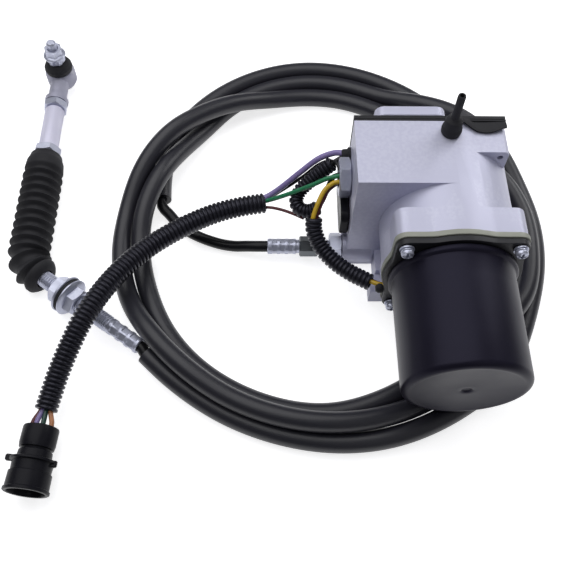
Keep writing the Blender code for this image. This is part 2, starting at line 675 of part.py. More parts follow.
def add_motor():
    """Adds the motor's spacer, end plate, can, magnets, brush gear and screws."""
    spacer_front = FLANGE_FRONT_Y - SEAT_GAP - SPACER_THICKNESS
    plate_back = spacer_front - SEAT_GAP
    plate_front = plate_back - END_PLATE_THICKNESS
    spacer = prism("motor_spacer", "cream_spacer", thinned(flange_outline(0.0007)),
                   spacer_front, FLANGE_FRONT_Y - SEAT_GAP)
    plate = prism("motor_end_plate", "black_enamel", thinned(flange_outline()),
                  plate_front, plate_back)
    for target, name in ((spacer, "spacer"), (plate, "end_plate")):
        bore_radius = MOTOR_BORE_RADIUS if target is spacer else BUSH_RADIUS + SEAT_GAP
        bore = cylinder_mesh(f"{name}_bore", bore_radius, (0, plate_front - 0.001, AXIS_HEIGHT), (0, 1, 0), 0.010, 24)
        combine(target, "DIFFERENCE", f"{name}_bore", bore)
        for index, (x, z) in enumerate(motor_bolt_places()):
            hole = cylinder_mesh(f"{name}_hole_{index + 1}", SCREW_SHANK_RADIUS + SEAT_GAP,
                                 (x, plate_front - 0.001, z), (0, 1, 0), 0.010, 12)
            combine(target, "DIFFERENCE", f"{name}_hole_{index + 1}", hole)
    for index, (x, z) in enumerate(motor_bolt_places()):
        add_motor_screw(f"motor_screw_{index + 1}", x, z, plate_front - SEAT_GAP)
    front = plate_front - SEAT_GAP
    add_can(front)
    add_magnets(front)
    add_brush_gear(front)
    add_armature(front)


def add_motor_screw(name, x, z, seat_y):
    """Adds a pan head screw with a washer face and a driver recess."""
    head = SCREW_HEAD_HEIGHT
    radius = SCREW_HEAD_RADIUS
    profile = [(0, head - 0.0018), (0.0014, head - 0.0018), (0.0016, head), (radius * 0.62, head),
               (radius * 0.92, head * 0.78), (radius * 0.98, head * 0.45), (radius * 1.08, head * 0.4),
               (radius * 1.08, 0), (SCREW_SHANK_RADIUS, 0), (SCREW_SHANK_RADIUS, -0.014), (0, -0.014)]
    revolved(name, "zinc", profile, (x, seat_y, z), (0, -1, 0), 16)


def add_can(front):
    """Adds the motor's drawn steel can, open towards the end plate."""
    edge = CAN_EDGE
    outer = CAN_RADIUS
    length = CAN_LENGTH
    wall = CAN_WALL
    corner = [(outer - edge + edge * math.cos(math.radians(a)), length - edge + edge * math.sin(math.radians(a)))
              for a in (0, 30, 60, 90)]
    hub = BUSH_RADIUS + 0.002
    profile = [(outer - wall, 0), (CAN_RIM_RADIUS, 0), (CAN_RIM_RADIUS, CAN_RIM_HEIGHT * 0.6),
               (outer, CAN_RIM_HEIGHT)] + corner
    profile += [(outer - edge - 0.0008, length - 0.0004), (CAN_DIMPLE_RADIUS + 0.0012, length - 0.0004),
                (CAN_DIMPLE_RADIUS, length - 0.0012), (0, length - 0.0012)]
    inner = [(0, length - wall - 0.0012), (BUSH_RADIUS + SEAT_GAP, length - wall - 0.0012),
             (BUSH_RADIUS + SEAT_GAP, length - wall - BUSH_LENGTH), (hub, length - wall - BUSH_LENGTH),
             (hub, length - wall - 0.0012), (outer - wall - 0.001, length - wall - 0.0012),
             (outer - wall, length - wall - 0.003)]
    place = (0, front, AXIS_HEIGHT)
    mesh = revolved_can(profile, inner, place)
    add_object("motor_can", mesh, "black_enamel")


def revolved_can(outer, inner, place):
    """Returns a cup turned from an outer and an inner profile that meet at the rim."""
    segments = 40
    frame = axis_frame(place, (0, -1, 0))

    def build(shape):
        rings = []
        for radius, height in outer + inner:
            if radius < 1e-7:
                rings.append([shape.verts.new(frame @ Vector((0, 0, height)))])
                continue
            ring = []
            for index in range(segments):
                angle = 2 * math.pi * index / segments
                ring.append(shape.verts.new(frame @ Vector((radius * math.cos(angle), radius * math.sin(angle), height))))
            rings.append(ring)
        pairs = []
        for index in range(len(rings) - 1):
            if len(rings[index]) == 1 and len(rings[index + 1]) == 1:
                continue
            pairs.append((rings[index], rings[index + 1]))
        pairs.append((rings[-1], rings[0]))
        for lower, upper in pairs:
            for index in range(segments):
                after = (index + 1) % segments
                corners = [lower[index % len(lower)], lower[after % len(lower)],
                           upper[after % len(upper)], upper[index % len(upper)]]
                kept = list(dict.fromkeys(corners))
                if len(kept) >= 3:
                    shape.faces.new(kept)
    return mesh_from(build, "motor_can")


def add_magnets(front):
    """Adds the two curved magnets inside the can."""
    outer = CAN_RADIUS - CAN_WALL - SEAT_GAP
    inner = outer - MAGNET_THICKNESS
    start = front - CAN_LENGTH + 0.0138
    for name, middle in (("magnet_left", 180.0), ("magnet_right", 0.0)):
        centre = (0.0, AXIS_HEIGHT)
        outline = arc_points(centre, outer, middle - MAGNET_ARC / 2, middle + MAGNET_ARC / 2, 12)
        outline += arc_points(centre, inner, middle + MAGNET_ARC / 2, middle - MAGNET_ARC / 2, 12)
        prism(name, "ferrite", outline, start, start + MAGNET_LENGTH)


def add_brush_gear(front):
    """Adds the brush ring, its two carbon brushes and both shaft bearings."""
    ring_front = front - CAN_RIM_HEIGHT
    centre = Vector((0, front - SEAT_GAP, AXIS_HEIGHT))
    slot = BRUSH_HEIGHT + 2 * SEAT_GAP
    ring = revolved("brush_ring", "phenolic",
                    [(COMMUTATOR_RADIUS + 0.002, 0), (CAN_RADIUS - CAN_WALL - SEAT_GAP, 0),
                     (CAN_RADIUS - CAN_WALL - SEAT_GAP, 0.009), (COMMUTATOR_RADIUS + 0.002, 0.009)],
                    centre, (0, -1, 0), 32, closed=True)
    brush_inner = COMMUTATOR_RADIUS + SEAT_GAP
    brush_y = centre.y - 0.0045
    for side, name in ((-1, "brush_left"), (1, "brush_right")):
        near = side * brush_inner
        far = side * (brush_inner + BRUSH_LENGTH)
        low = (min(near, far), brush_y - BRUSH_WIDTH / 2, AXIS_HEIGHT - BRUSH_HEIGHT / 2)
        high = (max(near, far), brush_y + BRUSH_WIDTH / 2, AXIS_HEIGHT + BRUSH_HEIGHT / 2)
        add_object(name, block_mesh(name, low, high), "carbon")
        reach = 0.001
        cut_far = side * (brush_inner + BRUSH_LENGTH + SEAT_GAP)
        cut_near = side * (COMMUTATOR_RADIUS + 0.002 - reach)
        cut = block_mesh(f"{name}_slot", (min(cut_near, cut_far), brush_y - BRUSH_WIDTH / 2 - SEAT_GAP, AXIS_HEIGHT - slot / 2),
                         (max(cut_near, cut_far), brush_y + BRUSH_WIDTH / 2 + SEAT_GAP, AXIS_HEIGHT + slot / 2))
        combine(ring, "DIFFERENCE", f"{name}_slot", cut)
    shaft_hole = SHAFT_RADIUS + RUNNING_GAP
    bush = [(shaft_hole, 0), (BUSH_RADIUS, 0), (BUSH_RADIUS, BUSH_LENGTH - 0.0008), (shaft_hole, BUSH_LENGTH - 0.0008)]
    end = front - CAN_LENGTH + CAN_WALL + 0.0012 + SEAT_GAP
    revolved("rear_bush", "brass", bush, (0, end, AXIS_HEIGHT), (0, 1, 0), 24, closed=True)
    front_bearing_y = FLANGE_FRONT_Y - SEAT_GAP - SPACER_THICKNESS - SEAT_GAP - END_PLATE_THICKNESS
    revolved("front_bush", "brass", bush, (0, front_bearing_y, AXIS_HEIGHT), (0, 1, 0), 24, closed=True)


def slotted_outline(radius, slots, depth, centre):
    """Returns a round lamination's outline with open winding slots, as (x, z) points."""
    outline = []
    pitch = 360.0 / slots
    for index in range(slots):
        base = index * pitch
        for offset, reach in ((0.12, 1.0), (0.37, 1.0), (0.63, 1.0), (0.88, 1.0), (0.92, 0.0), (1.08, 0.0)):
            angle = math.radians(base + offset * pitch)
            here = radius if reach else radius - depth
            outline.append((centre[0] + here * math.cos(angle), centre[1] + here * math.sin(angle)))
    return outline


def add_armature(front):
    """Adds the armature stack, commutator, shaft and motor pinion, which turn together."""
    motor, idler, _ = gear_centres()
    centre = (0.0, AXIS_HEIGHT)
    pivot = (0, 0, AXIS_HEIGHT)
    far = front - CAN_LENGTH + CAN_WALL + 0.0025
    stack_far = front - CAN_LENGTH + 0.018
    stack = prism("armature_stack", "steel", slotted_outline(ARMATURE_RADIUS, ARMATURE_SLOTS, 0.008, centre),
                  stack_far, stack_far + ARMATURE_LENGTH, pivot)
    drill = cylinder_mesh("armature_drill", SHAFT_RADIUS + SEAT_GAP, (0, stack_far - 0.001, 0), (0, 1, 0), ARMATURE_LENGTH + 0.002, 16)
    modifier = stack.modifiers.new("armature_drill", "BOOLEAN")
    modifier.operation = "DIFFERENCE"
    guide = cutter_from("armature_drill", drill)
    guide.location = (0, 0, AXIS_HEIGHT)
    modifier.object = guide
    com_y = front - 0.0095
    revolved("commutator", "copper", [(SHAFT_RADIUS + SEAT_GAP, 0), (COMMUTATOR_RADIUS, 0),
                                      (COMMUTATOR_RADIUS, COMMUTATOR_LENGTH), (SHAFT_RADIUS + SEAT_GAP, COMMUTATOR_LENGTH)],
             (0, com_y, AXIS_HEIGHT), (0, 1, 0), 24, closed=True, pivot=pivot)
    tip = FINE_PLANE_Y + FINE_FACE + 0.001
    revolved("motor_shaft", "steel", [(0, 0), (SHAFT_RADIUS, 0), (SHAFT_RADIUS, tip - far), (0, tip - far)],
             (0, far, AXIS_HEIGHT), (0, 1, 0), 16, pivot=pivot)
    pinion = involute_outline(MOTOR_TEETH, FINE_MODULE, centre, line_angle(motor, idler))
    gear = prism("motor_pinion", "steel", pinion, FINE_PLANE_Y - 0.0005, FINE_PLANE_Y + FINE_FACE + 0.0005, pivot)
    bore_gear(gear, "motor_pinion_bore", SHAFT_RADIUS + SEAT_GAP, centre)


def bore_gear(gear, name, radius, centre):
    """Drills a gear whose object sits at its own centre."""
    drill = cylinder_mesh(name, radius, (0, -0.05, 0), (0, 1, 0), 0.1, 16)
    modifier = gear.modifiers.new(name, "BOOLEAN")
    modifier.operation = "DIFFERENCE"
    guide = cutter_from(name, drill)
    guide.location = (centre[0], 0, centre[1])
    modifier.object = guide


def add_gear_train():
    """Adds the idler cluster on its pin, the output gear and shaft, and the fork lever."""
    motor, idler, output = gear_centres()
    idler_pivot = (idler.x, 0, idler.y)
    output_pivot = (output.x, 0, output.y)
    cluster_bottom = COARSE_PLANE_Y - 0.0005
    wheel = prism("idler_cluster", "brass",
                  involute_outline(WHEEL_TEETH, FINE_MODULE, idler, line_angle(idler, motor) + 180.0 / WHEEL_TEETH),
                  FINE_PLANE_Y, FINE_PLANE_Y + FINE_FACE, idler_pivot)
    small = involute_outline(PINION_TEETH, COARSE_MODULE, (0, 0), line_angle(idler, output))
    small_mesh = prism_mesh("idler_small_gear", small, cluster_bottom, FINE_PLANE_Y + 0.001)
    join = wheel.modifiers.new("idler_small_gear", "BOOLEAN")
    join.operation = "UNION"
    guide = cutter_from("idler_small_gear", small_mesh)
    guide.location = idler_pivot
    join.object = guide
    bore_gear(wheel, "idler_bore", IDLER_PIN_RADIUS + RUNNING_GAP, idler)
    pin_start = FRONT_Y + CASE_WALL - PIN_SEAT_DEPTH + SEAT_GAP
    collar_far = cluster_bottom - SEAT_GAP - pin_start
    pin_end = FINE_PLANE_Y + FINE_FACE + 0.0018 - pin_start
    revolved("idler_pin", "steel",
             [(0, 0), (IDLER_PIN_RADIUS, 0), (IDLER_PIN_RADIUS, collar_far - 0.002), (IDLER_COLLAR_RADIUS, collar_far - 0.002),
              (IDLER_COLLAR_RADIUS, collar_far), (IDLER_PIN_RADIUS, collar_far), (IDLER_PIN_RADIUS, pin_end), (0, pin_end)],
             (idler.x, pin_start, idler.y), (0, 1, 0), 16)
    big_angle = line_angle(output, idler) + 180.0 / OUTPUT_TEETH
    big = prism("output_gear", "steel", involute_outline(OUTPUT_TEETH, COARSE_MODULE, output, big_angle),
                COARSE_PLANE_Y, COARSE_PLANE_Y + COARSE_FACE, output_pivot)
    bore_gear(big, "output_gear_bore", OUTPUT_SHAFT_RADIUS + SEAT_GAP, output)
    shaft_start = FRONT_Y + CASE_WALL - SHAFT_SEAT_DEPTH + SEAT_GAP
    shaft_end = sensor_start() + SENSOR_INSET - SEAT_GAP
    shaft = revolved("output_shaft", "steel",
                     [(0, 0), (OUTPUT_SHAFT_RADIUS, 0), (OUTPUT_SHAFT_RADIUS, shaft_end - shaft_start), (0, shaft_end - shaft_start)],
                     (output.x, shaft_start, output.y), (0, 1, 0), 20, pivot=output_pivot)
    add_lever(output, output_pivot)
    return shaft


def add_lever(output, pivot):
    """Adds the lever on the output shaft, whose open fork moves the crosshead's pin."""
    drop = output.y - CABLE_Z
    half = LEVER_FORK_WIDTH / 2
    slot = FORK_SLOT / 2
    fork_end = drop + 0.0046
    neck = drop - 0.009
    outline = arc_points((output.x, output.y), LEVER_HUB_RADIUS, -25, 205, 14)
    outline += [(output.x - half * 0.72, output.y - neck), (output.x - half, output.y - neck - 0.003),
                (output.x - half, output.y - fork_end), (output.x - slot, output.y - fork_end),
                (output.x - slot, output.y - drop + 0.0045), (output.x + slot, output.y - drop + 0.0045),
                (output.x + slot, output.y - fork_end), (output.x + half, output.y - fork_end),
                (output.x + half, output.y - neck - 0.003), (output.x + half * 0.72, output.y - neck)]
    lever_y = CABLE_Y + CROSSHEAD_RADIUS + 0.0012
    lever = prism("fork_lever", "steel", outline, lever_y, lever_y + LEVER_THICKNESS, pivot)
    bore_gear(lever, "fork_lever_bore", OUTPUT_SHAFT_RADIUS + SEAT_GAP, output)


def add_crosshead():
    """Adds the crosshead with its pin, and the cable's core that it drives."""
    pin_y = CABLE_Y + CROSSHEAD_RADIUS + 0.0012 + LEVER_THICKNESS + 0.0006
    head = revolved("crosshead", "steel",
                    [(0, 0), (CROSSHEAD_RADIUS, 0), (CROSSHEAD_RADIUS, CROSSHEAD_WIDTH), (0, CROSSHEAD_WIDTH)],
                    (OUTPUT_X - CROSSHEAD_WIDTH / 2, CABLE_Y, CABLE_Z), (1, 0, 0), 16,
                    pivot=(OUTPUT_X, CABLE_Y, CABLE_Z))
    pin = cylinder_mesh("crosshead_pin", CROSSHEAD_PIN_RADIUS, (0, 0, 0), (0, 1, 0), pin_y - CABLE_Y, 12)
    join = head.modifiers.new("crosshead_pin", "BOOLEAN")
    join.operation = "UNION"
    guide = cutter_from("crosshead_pin", pin)
    guide.location = head.location
    join.object = guide
    start = OUTPUT_X - CROSSHEAD_WIDTH / 2 - SEAT_GAP
    revolved("cable_core", "steel", [(0, 0), (CORE_RADIUS, 0), (CORE_RADIUS, CORE_LENGTH), (0, CORE_LENGTH)],
             (start, CABLE_Y, CABLE_Z), (-1, 0, 0), 12, pivot=(OUTPUT_X, CABLE_Y, CABLE_Z))


def add_near_cable_end():
    """Adds the lock nut and the threaded crimp fitting at the case."""
    seat = -CASE_LEFT - CABLE_BOSS_REACH - SEAT_GAP
    bore = FERRULE_RADIUS
    hex_nut("near_lock_nut", "zinc", NUT_HEX, NUT_THICKNESS, bore, (seat, CABLE_Y, CABLE_Z), (-1, 0, 0), 30)
    body = FERRULE_RADIUS - SEAT_GAP
    hole = CORE_RADIUS + CORE_CLEARANCE
    end = NEAR_FITTING_LENGTH
    profile = [(hole, 0), (body, 0), (body, 0.024), (FERRULE_HEX / 2, 0.0245), (FERRULE_HEX / 2, 0.0345),
               (body, 0.035), (body, 0.0415), (body - 0.0004, 0.042), (body - 0.0004, 0.0432), (body, 0.0437),
               (body, end), (hole, end)]
    start = -CASE_LEFT + NEAR_FITTING_DEPTH
    revolved("near_fitting", "zinc", profile, (start, CABLE_Y, CABLE_Z), (-1, 0, 0), 20, closed=True)


def near_fitting_end():
    """Returns where the near fitting's crimped sleeve ends on X."""
    return -CASE_LEFT + NEAR_FITTING_DEPTH - NEAR_FITTING_LENGTH


def far_direction():
    """Returns the far fitting's axis, from the hose towards the boot."""
    angle = math.radians(FAR_ANGLE)
    return Vector((math.cos(angle), math.sin(angle), 0.0))


def add_far_cable_end():
    """Adds the crimp ferrule with its thread, two bulkhead nuts and two washers."""
    ahead = far_direction()
    start = FAR_FERRULE
    hole = CORE_RADIUS + CORE_CLEARANCE
    total = FERRULE_LENGTH + FAR_THREAD_LENGTH
    body = FERRULE_RADIUS
    thread = THREAD_RADIUS - SEAT_GAP
    profile = [(hole, 0), (body, 0), (body, 0.006), (body - 0.0005, 0.0065), (body - 0.0005, 0.0078), (body, 0.0083),
               (body, 0.013), (body - 0.0005, 0.0135), (body - 0.0005, 0.0148), (body, 0.0153), (body, FERRULE_LENGTH),
               (thread, FERRULE_LENGTH + 0.001), (thread, total - 0.001), (thread - 0.0008, total), (hole, total)]
    revolved("far_fitting", "zinc", profile, start, ahead, 20, closed=True)
    washer = start + ahead * WASHER_AT
    nut_bore = THREAD_RADIUS
    revolved("bulkhead_washer", "rubber",
             [(nut_bore, 0), (WASHER_RADIUS - 0.0006, 0), (WASHER_RADIUS - 0.0006, WASHER_THICKNESS), (nut_bore, WASHER_THICKNESS)],
             washer, ahead, 28, closed=True)
    add_flanged_nut("inner_flange_nut", washer - ahead * SEAT_GAP, -ahead, nut_bore)
    add_flanged_nut("outer_flange_nut", washer + ahead * (WASHER_THICKNESS + SEAT_GAP), ahead, nut_bore)


def add_flanged_nut(name, start, direction, bore):
    """Adds a hexagon nut whose wide round flange lies at start."""
    flange = revolved_mesh(f"{name}_flange",
                           [(bore, 0), (WASHER_RADIUS, 0), (WASHER_RADIUS, WASHER_THICKNESS),
                            (NUT_HEX / 2, WASHER_THICKNESS + 0.0012), (bore, WASHER_THICKNESS + 0.0012)],
                           start, direction, 28, closed=True)
    nut = hex_nut(name, "zinc", NUT_HEX, NUT_THICKNESS, bore, start + direction * (WASHER_THICKNESS * 0.5), direction, 15)
    combine(nut, "UNION", f"{name}_flange", flange)


def boot_centreline():
    """Returns the bent boot's centre points from its closed end to the rod's end."""
    thread_end = FERRULE_LENGTH + FAR_THREAD_LENGTH
    straight = [FAR_FERRULE + far_direction() * (thread_end + offset) for offset in (-BOOT_GRIP, -BOOT_GRIP / 2, 0.0, 0.001)]
    bend = [Vector((ROD_X + x, y, ROD_Z)) for x, y in BOOT_BEND]
    points = straight + bend + [Vector((ROD_X, y, ROD_Z)) for y in (-0.008, 0.010, 0.028, BOOT_TOP_Y)]
    return smooth_path(points, 0.0012)


def smooth_path(points, spacing):
    """Returns evenly spaced points on a smooth curve through the given points."""
    vectors = [Vector(p) for p in points]
    padded = [2 * vectors[0] - vectors[1]] + vectors + [2 * vectors[-1] - vectors[-2]]
    dense = []
    for index in range(1, len(padded) - 2):
        before, here, after, beyond = padded[index - 1:index + 3]
        for step in range(24):
            t = step / 24
            dense.append(0.5 * ((2 * here) + (after - before) * t + (2 * before - 5 * here + 4 * after - beyond) * t * t
                                + (3 * here - before - 3 * after + beyond) * t ** 3))
    dense.append(vectors[-1])
    lengths = [0.0]
    for first, second in zip(dense[:-1], dense[1:]):
        lengths.append(lengths[-1] + (second - first).length)
    count = max(int(round(lengths[-1] / spacing)), 2)
    targets = np.linspace(0, lengths[-1], count + 1)
    coordinates = [np.interp(targets, lengths, [p[axis] for p in dense]) for axis in range(3)]
    return [Vector(c) for c in zip(*coordinates)]


def boot_radii(length):
    """Returns the boot's outer profile as (distance from the closed end, radius) pairs."""
    first = 0.006
    last = length - BOOT_COLLAR_LENGTH
    pitch = (last - first) / BOOT_FOLDS
    profile = [(0.0, 0.0072), (0.0016, 0.0098), (0.0036, BOOT_RADIUS - 0.0006)]
    for fold in range(BOOT_FOLDS):
        start = first + fold * pitch
        profile += [(start, BOOT_ROOT_RADIUS), (start + pitch * 0.34, BOOT_RADIUS), (start + pitch * 0.66, BOOT_RADIUS)]
    profile += [(last, BOOT_ROOT_RADIUS), (last + pitch * 0.4, BOOT_RADIUS - 0.0004), (length - 0.005, BOOT_RADIUS - 0.0008),
                (length - 0.0016, 0.0098), (length, 0.0078)]
    return profile


def add_boot():
    """Adds the rubber bellows as one bent thin-walled moulding."""
    centre = boot_centreline()
    lengths = [0.0]
    for first, second in zip(centre[:-1], centre[1:]):
        lengths.append(lengths[-1] + (second - first).length)
    total = lengths[-1]
    outer = boot_radii(total)
    inner = [(total, ROD_TUBE_RADIUS + 0.0009), (total - 0.004, BOOT_ROOT_RADIUS - BOOT_WALL), (0.004, BOOT_ROOT_RADIUS - BOOT_WALL),
             (0.0, THREAD_RADIUS + SEAT_GAP)]
    middle = [(total - (total - 0.004) * step / 12, BOOT_ROOT_RADIUS - BOOT_WALL) for step in range(1, 12)]
    inner = inner[:2] + middle + inner[2:]
    segments = 16

    def build(shape):
        rings = []
        for along, radius in outer + inner:
            spot = Vector([np.interp(along, lengths, [p[axis] for p in centre]) for axis in range(3)])
            behind = Vector([np.interp(along - 0.002, lengths, [p[axis] for p in centre]) for axis in range(3)])
            ahead = Vector([np.interp(along + 0.002, lengths, [p[axis] for p in centre]) for axis in range(3)])
            tangent = (ahead - behind).normalized()
            across = tangent.cross(Vector((0, 0, 1))).normalized()
            up = across.cross(tangent)
            ring = []
            for index in range(segments):
                angle = 2 * math.pi * index / segments
                ring.append(shape.verts.new(spot + (across * math.cos(angle) + up * math.sin(angle)) * radius))
            rings.append(ring)
        for lower, upper in zip(rings, rings[1:] + rings[:1]):
            for index in range(segments):
                after = (index + 1) % segments
                shape.faces.new((lower[index], lower[after], upper[after], upper[index]))
    add_object("bellows_boot", mesh_from(build, "bellows_boot"), "rubber")


def add_rod_end():
    """Adds the sliding rod tube, jam nuts, rod end with its dust cap, and the ball stud."""
    pivot = (ROD_X, BOOT_TOP_Y, ROD_Z)
    ahead = (0, 1, 0)
    tube_start = BOOT_TOP_Y - 0.012
    length = ROD_TUBE_TOP_Y - tube_start
    socket = ROD_THREAD_RADIUS + SEAT_GAP
    depth = ROD_THREAD_REACH + SEAT_GAP
    revolved("rod_tube", "zinc", [(0, 0), (ROD_TUBE_RADIUS - 0.0008, 0), (ROD_TUBE_RADIUS, 0.0008), (ROD_TUBE_RADIUS, length - 0.0008),
                                  (ROD_TUBE_RADIUS - 0.0008, length), (socket, length), (socket, length - depth), (0, length - depth)],
             (ROD_X, tube_start, ROD_Z), ahead, 24, pivot=pivot)
    revolved("rod_core", "steel", [(0, 0), (CORE_RADIUS, 0), (CORE_RADIUS, ROD_CORE_LENGTH), (0, ROD_CORE_LENGTH)],
             (ROD_X, tube_start - SEAT_GAP, ROD_Z), (0, -1, 0), 12, pivot=pivot)
    hex_nut("rod_collar_nut", "zinc", JAM_HEX + 0.0015, JAM_THICKNESS, ROD_TUBE_RADIUS + SEAT_GAP,
            (ROD_X, BOOT_TOP_Y + 0.0006, ROD_Z), ahead, 10, pivot)
    hex_nut("rod_jam_nut", "zinc", JAM_HEX, JAM_THICKNESS, ROD_THREAD_RADIUS + SEAT_GAP, (ROD_X, ROD_TUBE_TOP_Y + SEAT_GAP, ROD_Z), ahead, 0, pivot)
    shank_start = ROD_TUBE_TOP_Y + SEAT_GAP + JAM_THICKNESS + SEAT_GAP
    add_rod_end_body(shank_start, pivot)
    eye_bottom = ROD_Z - ROD_END_EYE_HEIGHT / 2
    eye_top = ROD_Z + ROD_END_EYE_HEIGHT / 2
    neck = STUD_RADIUS + 0.0012
    revolved("dust_cap", "rubber",
             [(neck, 0.0005), (DUST_CAP_RADIUS - 0.001, 0), (DUST_CAP_RADIUS, 0.0012), (DUST_CAP_RADIUS, 0.003),
              (DUST_CAP_RADIUS - 0.0014, 0.0048), (neck + 0.0018, DUST_CAP_HEIGHT), (neck, DUST_CAP_HEIGHT)],
             (ROD_X, ROD_END_EYE_Y, eye_top + SEAT_GAP), (0, 0, 1), 24, closed=True, pivot=pivot)
    add_ball_stud(eye_top, pivot)
    return eye_bottom


def add_rod_end_body(shank_start, pivot):
    """Adds the rod end: a round shank that swells into the ball's housing."""
    shank = ROD_END_EYE_Y - shank_start
    thread = JAM_THICKNESS + 2 * SEAT_GAP + ROD_THREAD_REACH
    body = revolved("rod_end", "zinc",
                    [(0, -thread), (ROD_THREAD_RADIUS, -thread), (ROD_THREAD_RADIUS, 0), (0.0072, 0), (0.0074, 0.003), (ROD_END_NECK_RADIUS, 0.0042), (ROD_END_NECK_RADIUS, shank - 0.004), (0.0045, shank - 0.001), (0, shank - 0.001)],
                    (ROD_X, shank_start, ROD_Z), (0, 1, 0), 20, pivot=pivot)
    height = ROD_END_EYE_HEIGHT
    radius = ROD_END_EYE_RADIUS
    eye = revolved_mesh("rod_end_eye", [(0, 0), (radius - 0.0015, 0), (radius, 0.0025), (radius, height - 0.002), (radius - 0.001, height), (0, height)],
                        (ROD_X - pivot[0], ROD_END_EYE_Y - pivot[1], -height / 2), (0, 0, 1), 28)
    join = body.modifiers.new("rod_end_eye", "BOOLEAN")
    join.operation = "UNION"
    guide = cutter_from("rod_end_eye", eye)
    guide.location = pivot
    join.object = guide
    ball = BALL_RADIUS + RUNNING_GAP
    socket_profile = [(0, -ball)]
    for angle in (-60, -30, 0, 30):
        socket_profile.append((ball * math.cos(math.radians(angle)), ball * math.sin(math.radians(angle))))
    socket_profile += [(STUD_RADIUS + 0.0016, height / 2 + 0.001), (0, height / 2 + 0.001)]
    socket = revolved_mesh("rod_end_socket", socket_profile, (0, ROD_END_EYE_Y - pivot[1], 0), (0, 0, 1), 20)
    cut = body.modifiers.new("rod_end_socket", "BOOLEAN")
    cut.operation = "DIFFERENCE"
    hollow = cutter_from("rod_end_socket", socket)
    hollow.location = pivot
    cut.object = hollow


def add_ball_stud(eye_top, pivot):
    """Adds the ball stud with its hexagon, and the flanged nut on its thread."""
    centre = (ROD_X, ROD_END_EYE_Y, ROD_Z)
    profile = [(0, -BALL_RADIUS)]
    for angle in (-55, -20, 15, 42):
        profile.append((BALL_RADIUS * math.cos(math.radians(angle)), BALL_RADIUS * math.sin(math.radians(angle))))
    hex_z = eye_top + SEAT_GAP + DUST_CAP_HEIGHT + SEAT_GAP - ROD_Z
    profile += [(STUD_RADIUS, BALL_RADIUS), (STUD_RADIUS, STUD_TOP_Z - ROD_Z - 0.001),
                (STUD_RADIUS - 0.0008, STUD_TOP_Z - ROD_Z), (0, STUD_TOP_Z - ROD_Z)]
    stud = revolved("ball_stud", "zinc", profile, centre, (0, 0, 1), 20, pivot=centre)
    hexagon = [(x, y) for x, y in hex_profile(STUD_HEX, 15)]

    def build(shape):
        corners = [shape.verts.new((x, y, hex_z)) for x, y in hexagon]
        face = shape.faces.new(corners)
        grown = bmesh.ops.extrude_face_region(shape, geom=[face])
        moved = [item for item in grown["geom"] if isinstance(item, bmesh.types.BMVert)]
        bmesh.ops.translate(shape, verts=moved, vec=(0, 0, 0.004))
    join = stud.modifiers.new("ball_stud_hex", "BOOLEAN")
    join.operation = "UNION"
    guide = cutter_from("ball_stud_hex", mesh_from(build, "ball_stud_hex"))
    guide.location = centre
    join.object = guide
    nut_z = ROD_Z + hex_z + 0.004 + SEAT_GAP + 0.0004
    nut = hex_nut("stud_nut", "zinc", STUD_HEX, 0.0058, STUD_RADIUS + SEAT_GAP, (ROD_X, ROD_END_EYE_Y, nut_z), (0, 0, 1), 0, centre)
    skirt = revolved_mesh("stud_nut_skirt", [(STUD_RADIUS + SEAT_GAP, 0), (STUD_SKIRT_RADIUS, 0), (STUD_SKIRT_RADIUS, 0.0012), (0.005, 0.0022), (STUD_RADIUS + SEAT_GAP, 0.0022)],
                          (0, 0, nut_z - ROD_Z - 0.0004), (0, 0, 1), 20, closed=True)
    flange = nut.modifiers.new("stud_nut_skirt", "BOOLEAN")
    flange.operation = "UNION"
    ring = cutter_from("stud_nut_skirt", skirt)
    ring.location = centre
    flange.object = ring


def add_rear():
    """Adds the rear gasket, black cover, sensor housing and sensor."""
    low = 2 * AXIS_HEIGHT - CASE_TOP + CORNER_LUG_STEP
    outline = [(-CASE_LEFT, 0.0005), (-CASE_LEFT, CASE_TOP), (CORNER_LUG_RIGHT, CASE_TOP),
               (CORNER_LUG_RIGHT, CASE_TOP - CORNER_LUG_DROP)]
    outline += arc_points((0, AXIS_HEIGHT), DRUM_RADIUS, 30, -30, 8)
    outline += [(CORNER_LUG_RIGHT, low + CORNER_LUG_DROP), (CORNER_LUG_RIGHT, low), (BASE_RIGHT, low), (BASE_RIGHT, 0.0005)]
    gasket_y = REAR_Y + SEAT_GAP
    cover_y = gasket_y + GASKET_THICKNESS + SEAT_GAP
    gasket = prism("rear_gasket", "rubber", outline, gasket_y, gasket_y + GASKET_THICKNESS)
    cover = prism("rear_cover", "black_enamel", outline, cover_y, cover_y + COVER_THICKNESS)
    opening = rounded_rectangle(-CASE_LEFT + 0.012, 0.012, BASE_RIGHT - 0.003, CASE_TOP - 0.012, 0.004)
    combine(gasket, "DIFFERENCE", "gasket_opening", prism_mesh("gasket_opening", opening, gasket_y - 0.001, gasket_y + 0.003))
    sensor_bore = cylinder_mesh("cover_sensor_hole", SENSOR_RADIUS + SEAT_GAP, (OUTPUT_X, cover_y - 0.001, OUTPUT_Z), (0, 1, 0), 0.005, 28)
    combine(cover, "DIFFERENCE", "cover_sensor_hole", sensor_bore)
    screw_seat = cover_y + COVER_THICKNESS + SEAT_GAP
    for index, (x, z) in enumerate(cover_screw_places()):
        for target, name, start in ((gasket, "gasket", gasket_y), (cover, "cover", cover_y)):
            hole = cylinder_mesh(f"{name}_hole_{index + 1}", 0.0017, (x, start - 0.001, z), (0, 1, 0), 0.005, 10)
            combine(target, "DIFFERENCE", f"{name}_hole_{index + 1}", hole)
    add_sensor(screw_seat)


def sensor_start():
    """Returns where the position sensor's open end begins on Y."""
    return REAR_Y + SEAT_GAP + 0.0008


